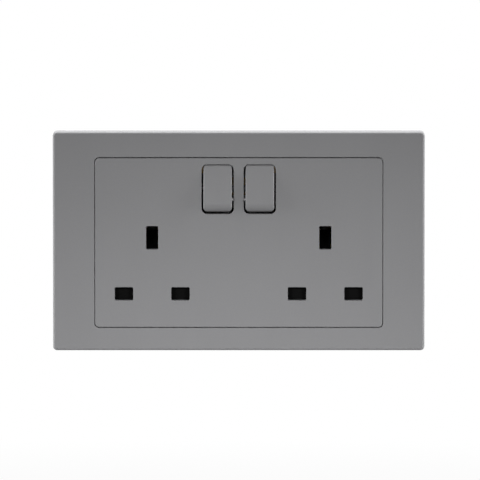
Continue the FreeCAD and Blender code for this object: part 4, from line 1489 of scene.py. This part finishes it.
@dataclass
class Studio:
    """Pale floor, soft lights, white background and the camera."""

    floor_z: float = -0.15
    floor_size: float = 12.0
    distance: float = 3.2
    elevation: float = 4.5
    frame_width: float = 0.1885
    centre: Place = (0.0, FACE_Y, 0.0)
    whiteness: Pair = (0.9, 1.0)
    white_reach: Pair = (0.25, 0.7)
    nudge: Pair = (0.0026, 0.0028)
    paper: float = 0.2
    sky: Colour = (0.5, 0.5, 0.5)
    sky_strength: float = 0.2
    key_aim: Place = (0.0, 0.0, -0.102)

    def floor(self) -> None:
        """Lays a large pale floor with a slightly uneven tone."""
        bpy.ops.object.select_all(action="DESELECT")
        bpy.ops.mesh.primitive_plane_add(size=self.floor_size, location=(0.0, 0.0, self.floor_z))
        floor = bpy.context.object
        floor.name = "studio_floor"
        Bench.settle(floor)
        floor.data.materials.append(self._paper())

    def _paper(self) -> Material:
        """Makes the floor's paper: white to the camera, with the shadow kept.

        Returns:
            The material.
        """
        graph = Graph("studio_paper")
        graph.colour(graph.graded(graph.noise(0.4), around((self.paper,) * 3, 0.05)))
        graph.value("Roughness", 0.9)
        output = next(node for node in graph.nodes if node.type == "OUTPUT_MATERIAL")
        glow = graph.nodes.new("ShaderNodeEmission")
        glow.inputs["Color"].default_value = (1.0, 1.0, 1.0, 1.0)
        blend = graph.nodes.new("ShaderNodeMixShader")
        reach = graph.nodes.new("ShaderNodeVectorMath")
        reach.operation = "LENGTH"
        graph.links.new(graph.place, reach.inputs[0])
        white = graph.ranged(reach.outputs["Value"], *self.whiteness, self.white_reach)
        share = graph.nodes.new("ShaderNodeMath")
        share.operation = "MULTIPLY"
        seen = any_ray(graph.material.node_tree, ("Is Camera Ray", "Is Glossy Ray"))
        graph.links.new(seen, share.inputs[0])
        graph.links.new(white, share.inputs[1])
        graph.links.new(share.outputs["Value"], blend.inputs["Fac"])
        graph.links.new(graph.surface.outputs["BSDF"], blend.inputs[1])
        graph.links.new(glow.outputs["Emission"], blend.inputs[2])
        graph.links.new(blend.outputs["Shader"], output.inputs["Surface"])
        return graph.material

    def world(self) -> None:
        """Makes the world dim for light and white for the camera, gloss and glass."""
        world = bpy.data.worlds.new("studio_world")
        bpy.context.scene.world = world
        world.use_nodes = True
        nodes, links = world.node_tree.nodes, world.node_tree.links
        nodes.clear()
        output = nodes.new("ShaderNodeOutputWorld")
        dim = nodes.new("ShaderNodeBackground")
        dim.inputs["Color"].default_value = (*self.sky, 1.0)
        dim.inputs["Strength"].default_value = self.sky_strength
        white = nodes.new("ShaderNodeBackground")
        white.inputs["Color"].default_value = (1.0, 1.0, 1.0, 1.0)
        white.inputs["Strength"].default_value = 1.0
        blend = nodes.new("ShaderNodeMixShader")
        seen = any_ray(world.node_tree, ("Is Camera Ray", "Is Glossy Ray", "Is Transmission Ray"))
        links.new(seen, blend.inputs["Fac"])
        links.new(dim.outputs["Background"], blend.inputs[1])
        links.new(white.outputs["Background"], blend.inputs[2])
        links.new(blend.outputs["Shader"], output.inputs["Surface"])

    def camera(self) -> None:
        """Sets the camera square to the face and a little above it."""
        data = bpy.data.cameras.new("photo_camera")
        data.sensor_width = 36.0
        data.lens = data.sensor_width * self.distance / self.frame_width
        data.shift_x, data.shift_y = self.nudge
        data.clip_start = 0.01
        camera = bpy.data.objects.new("photo_camera", data)
        bpy.context.scene.collection.objects.link(camera)
        lift = math.radians(self.elevation)
        reach = Vector((0.0, -math.cos(lift), math.sin(lift))) * self.distance
        camera.location = Vector(self.centre) + reach
        camera.rotation_euler = (-reach).to_track_quat("-Z", "Y").to_euler()
        bpy.context.scene.camera = camera

    def lights(self) -> None:
        """Hangs the lamp above and the four at the sides, in mirrored pairs."""
        for side in Side:
            place = (side.sign * 0.5, -1.2, 0.25)
            SoftBox("key_" + side.value, (0.2, 0.12), 0.124, place, self.key_aim, spread=20.0).hang()
        SoftBox("top_box", (0.8, 0.2), 2.8, (0.0, 0.16, 0.5), (0.0, 0.02, 0.04)).hang()
        for side in Side:
            SoftBox(side.value + "_box", (0.12, 0.5), 1.2, (side.sign * 0.5, -0.05, 0.05)).hang()

    def build(self) -> None:
        """Sets up the whole studio."""
        self.floor()
        self.lights()
        self.world()
        self.camera()
        bpy.context.scene.view_settings.view_transform = "Standard"


def main() -> None:
    """Builds the dressed socket and its studio."""
    logging.basicConfig(level=logging.INFO, format="%(name)s: %(message)s")
    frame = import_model()
    socket = Socket(frame, Palette().made())
    socket.dress()
    socket.stand_in(Surround().build(), "socket_body", "outer_frame")
    socket.stand_in(Panel().build(), "socket_body", "socket_front")
    for side in Side:
        socket.stand_in(Rocker().build(side), "rocker_" + side.value, "rocker_" + side.value)
    Springs().build(socket)
    Fixings().build(socket)
    Studio().build()


if __name__ == "__main__":
    main()
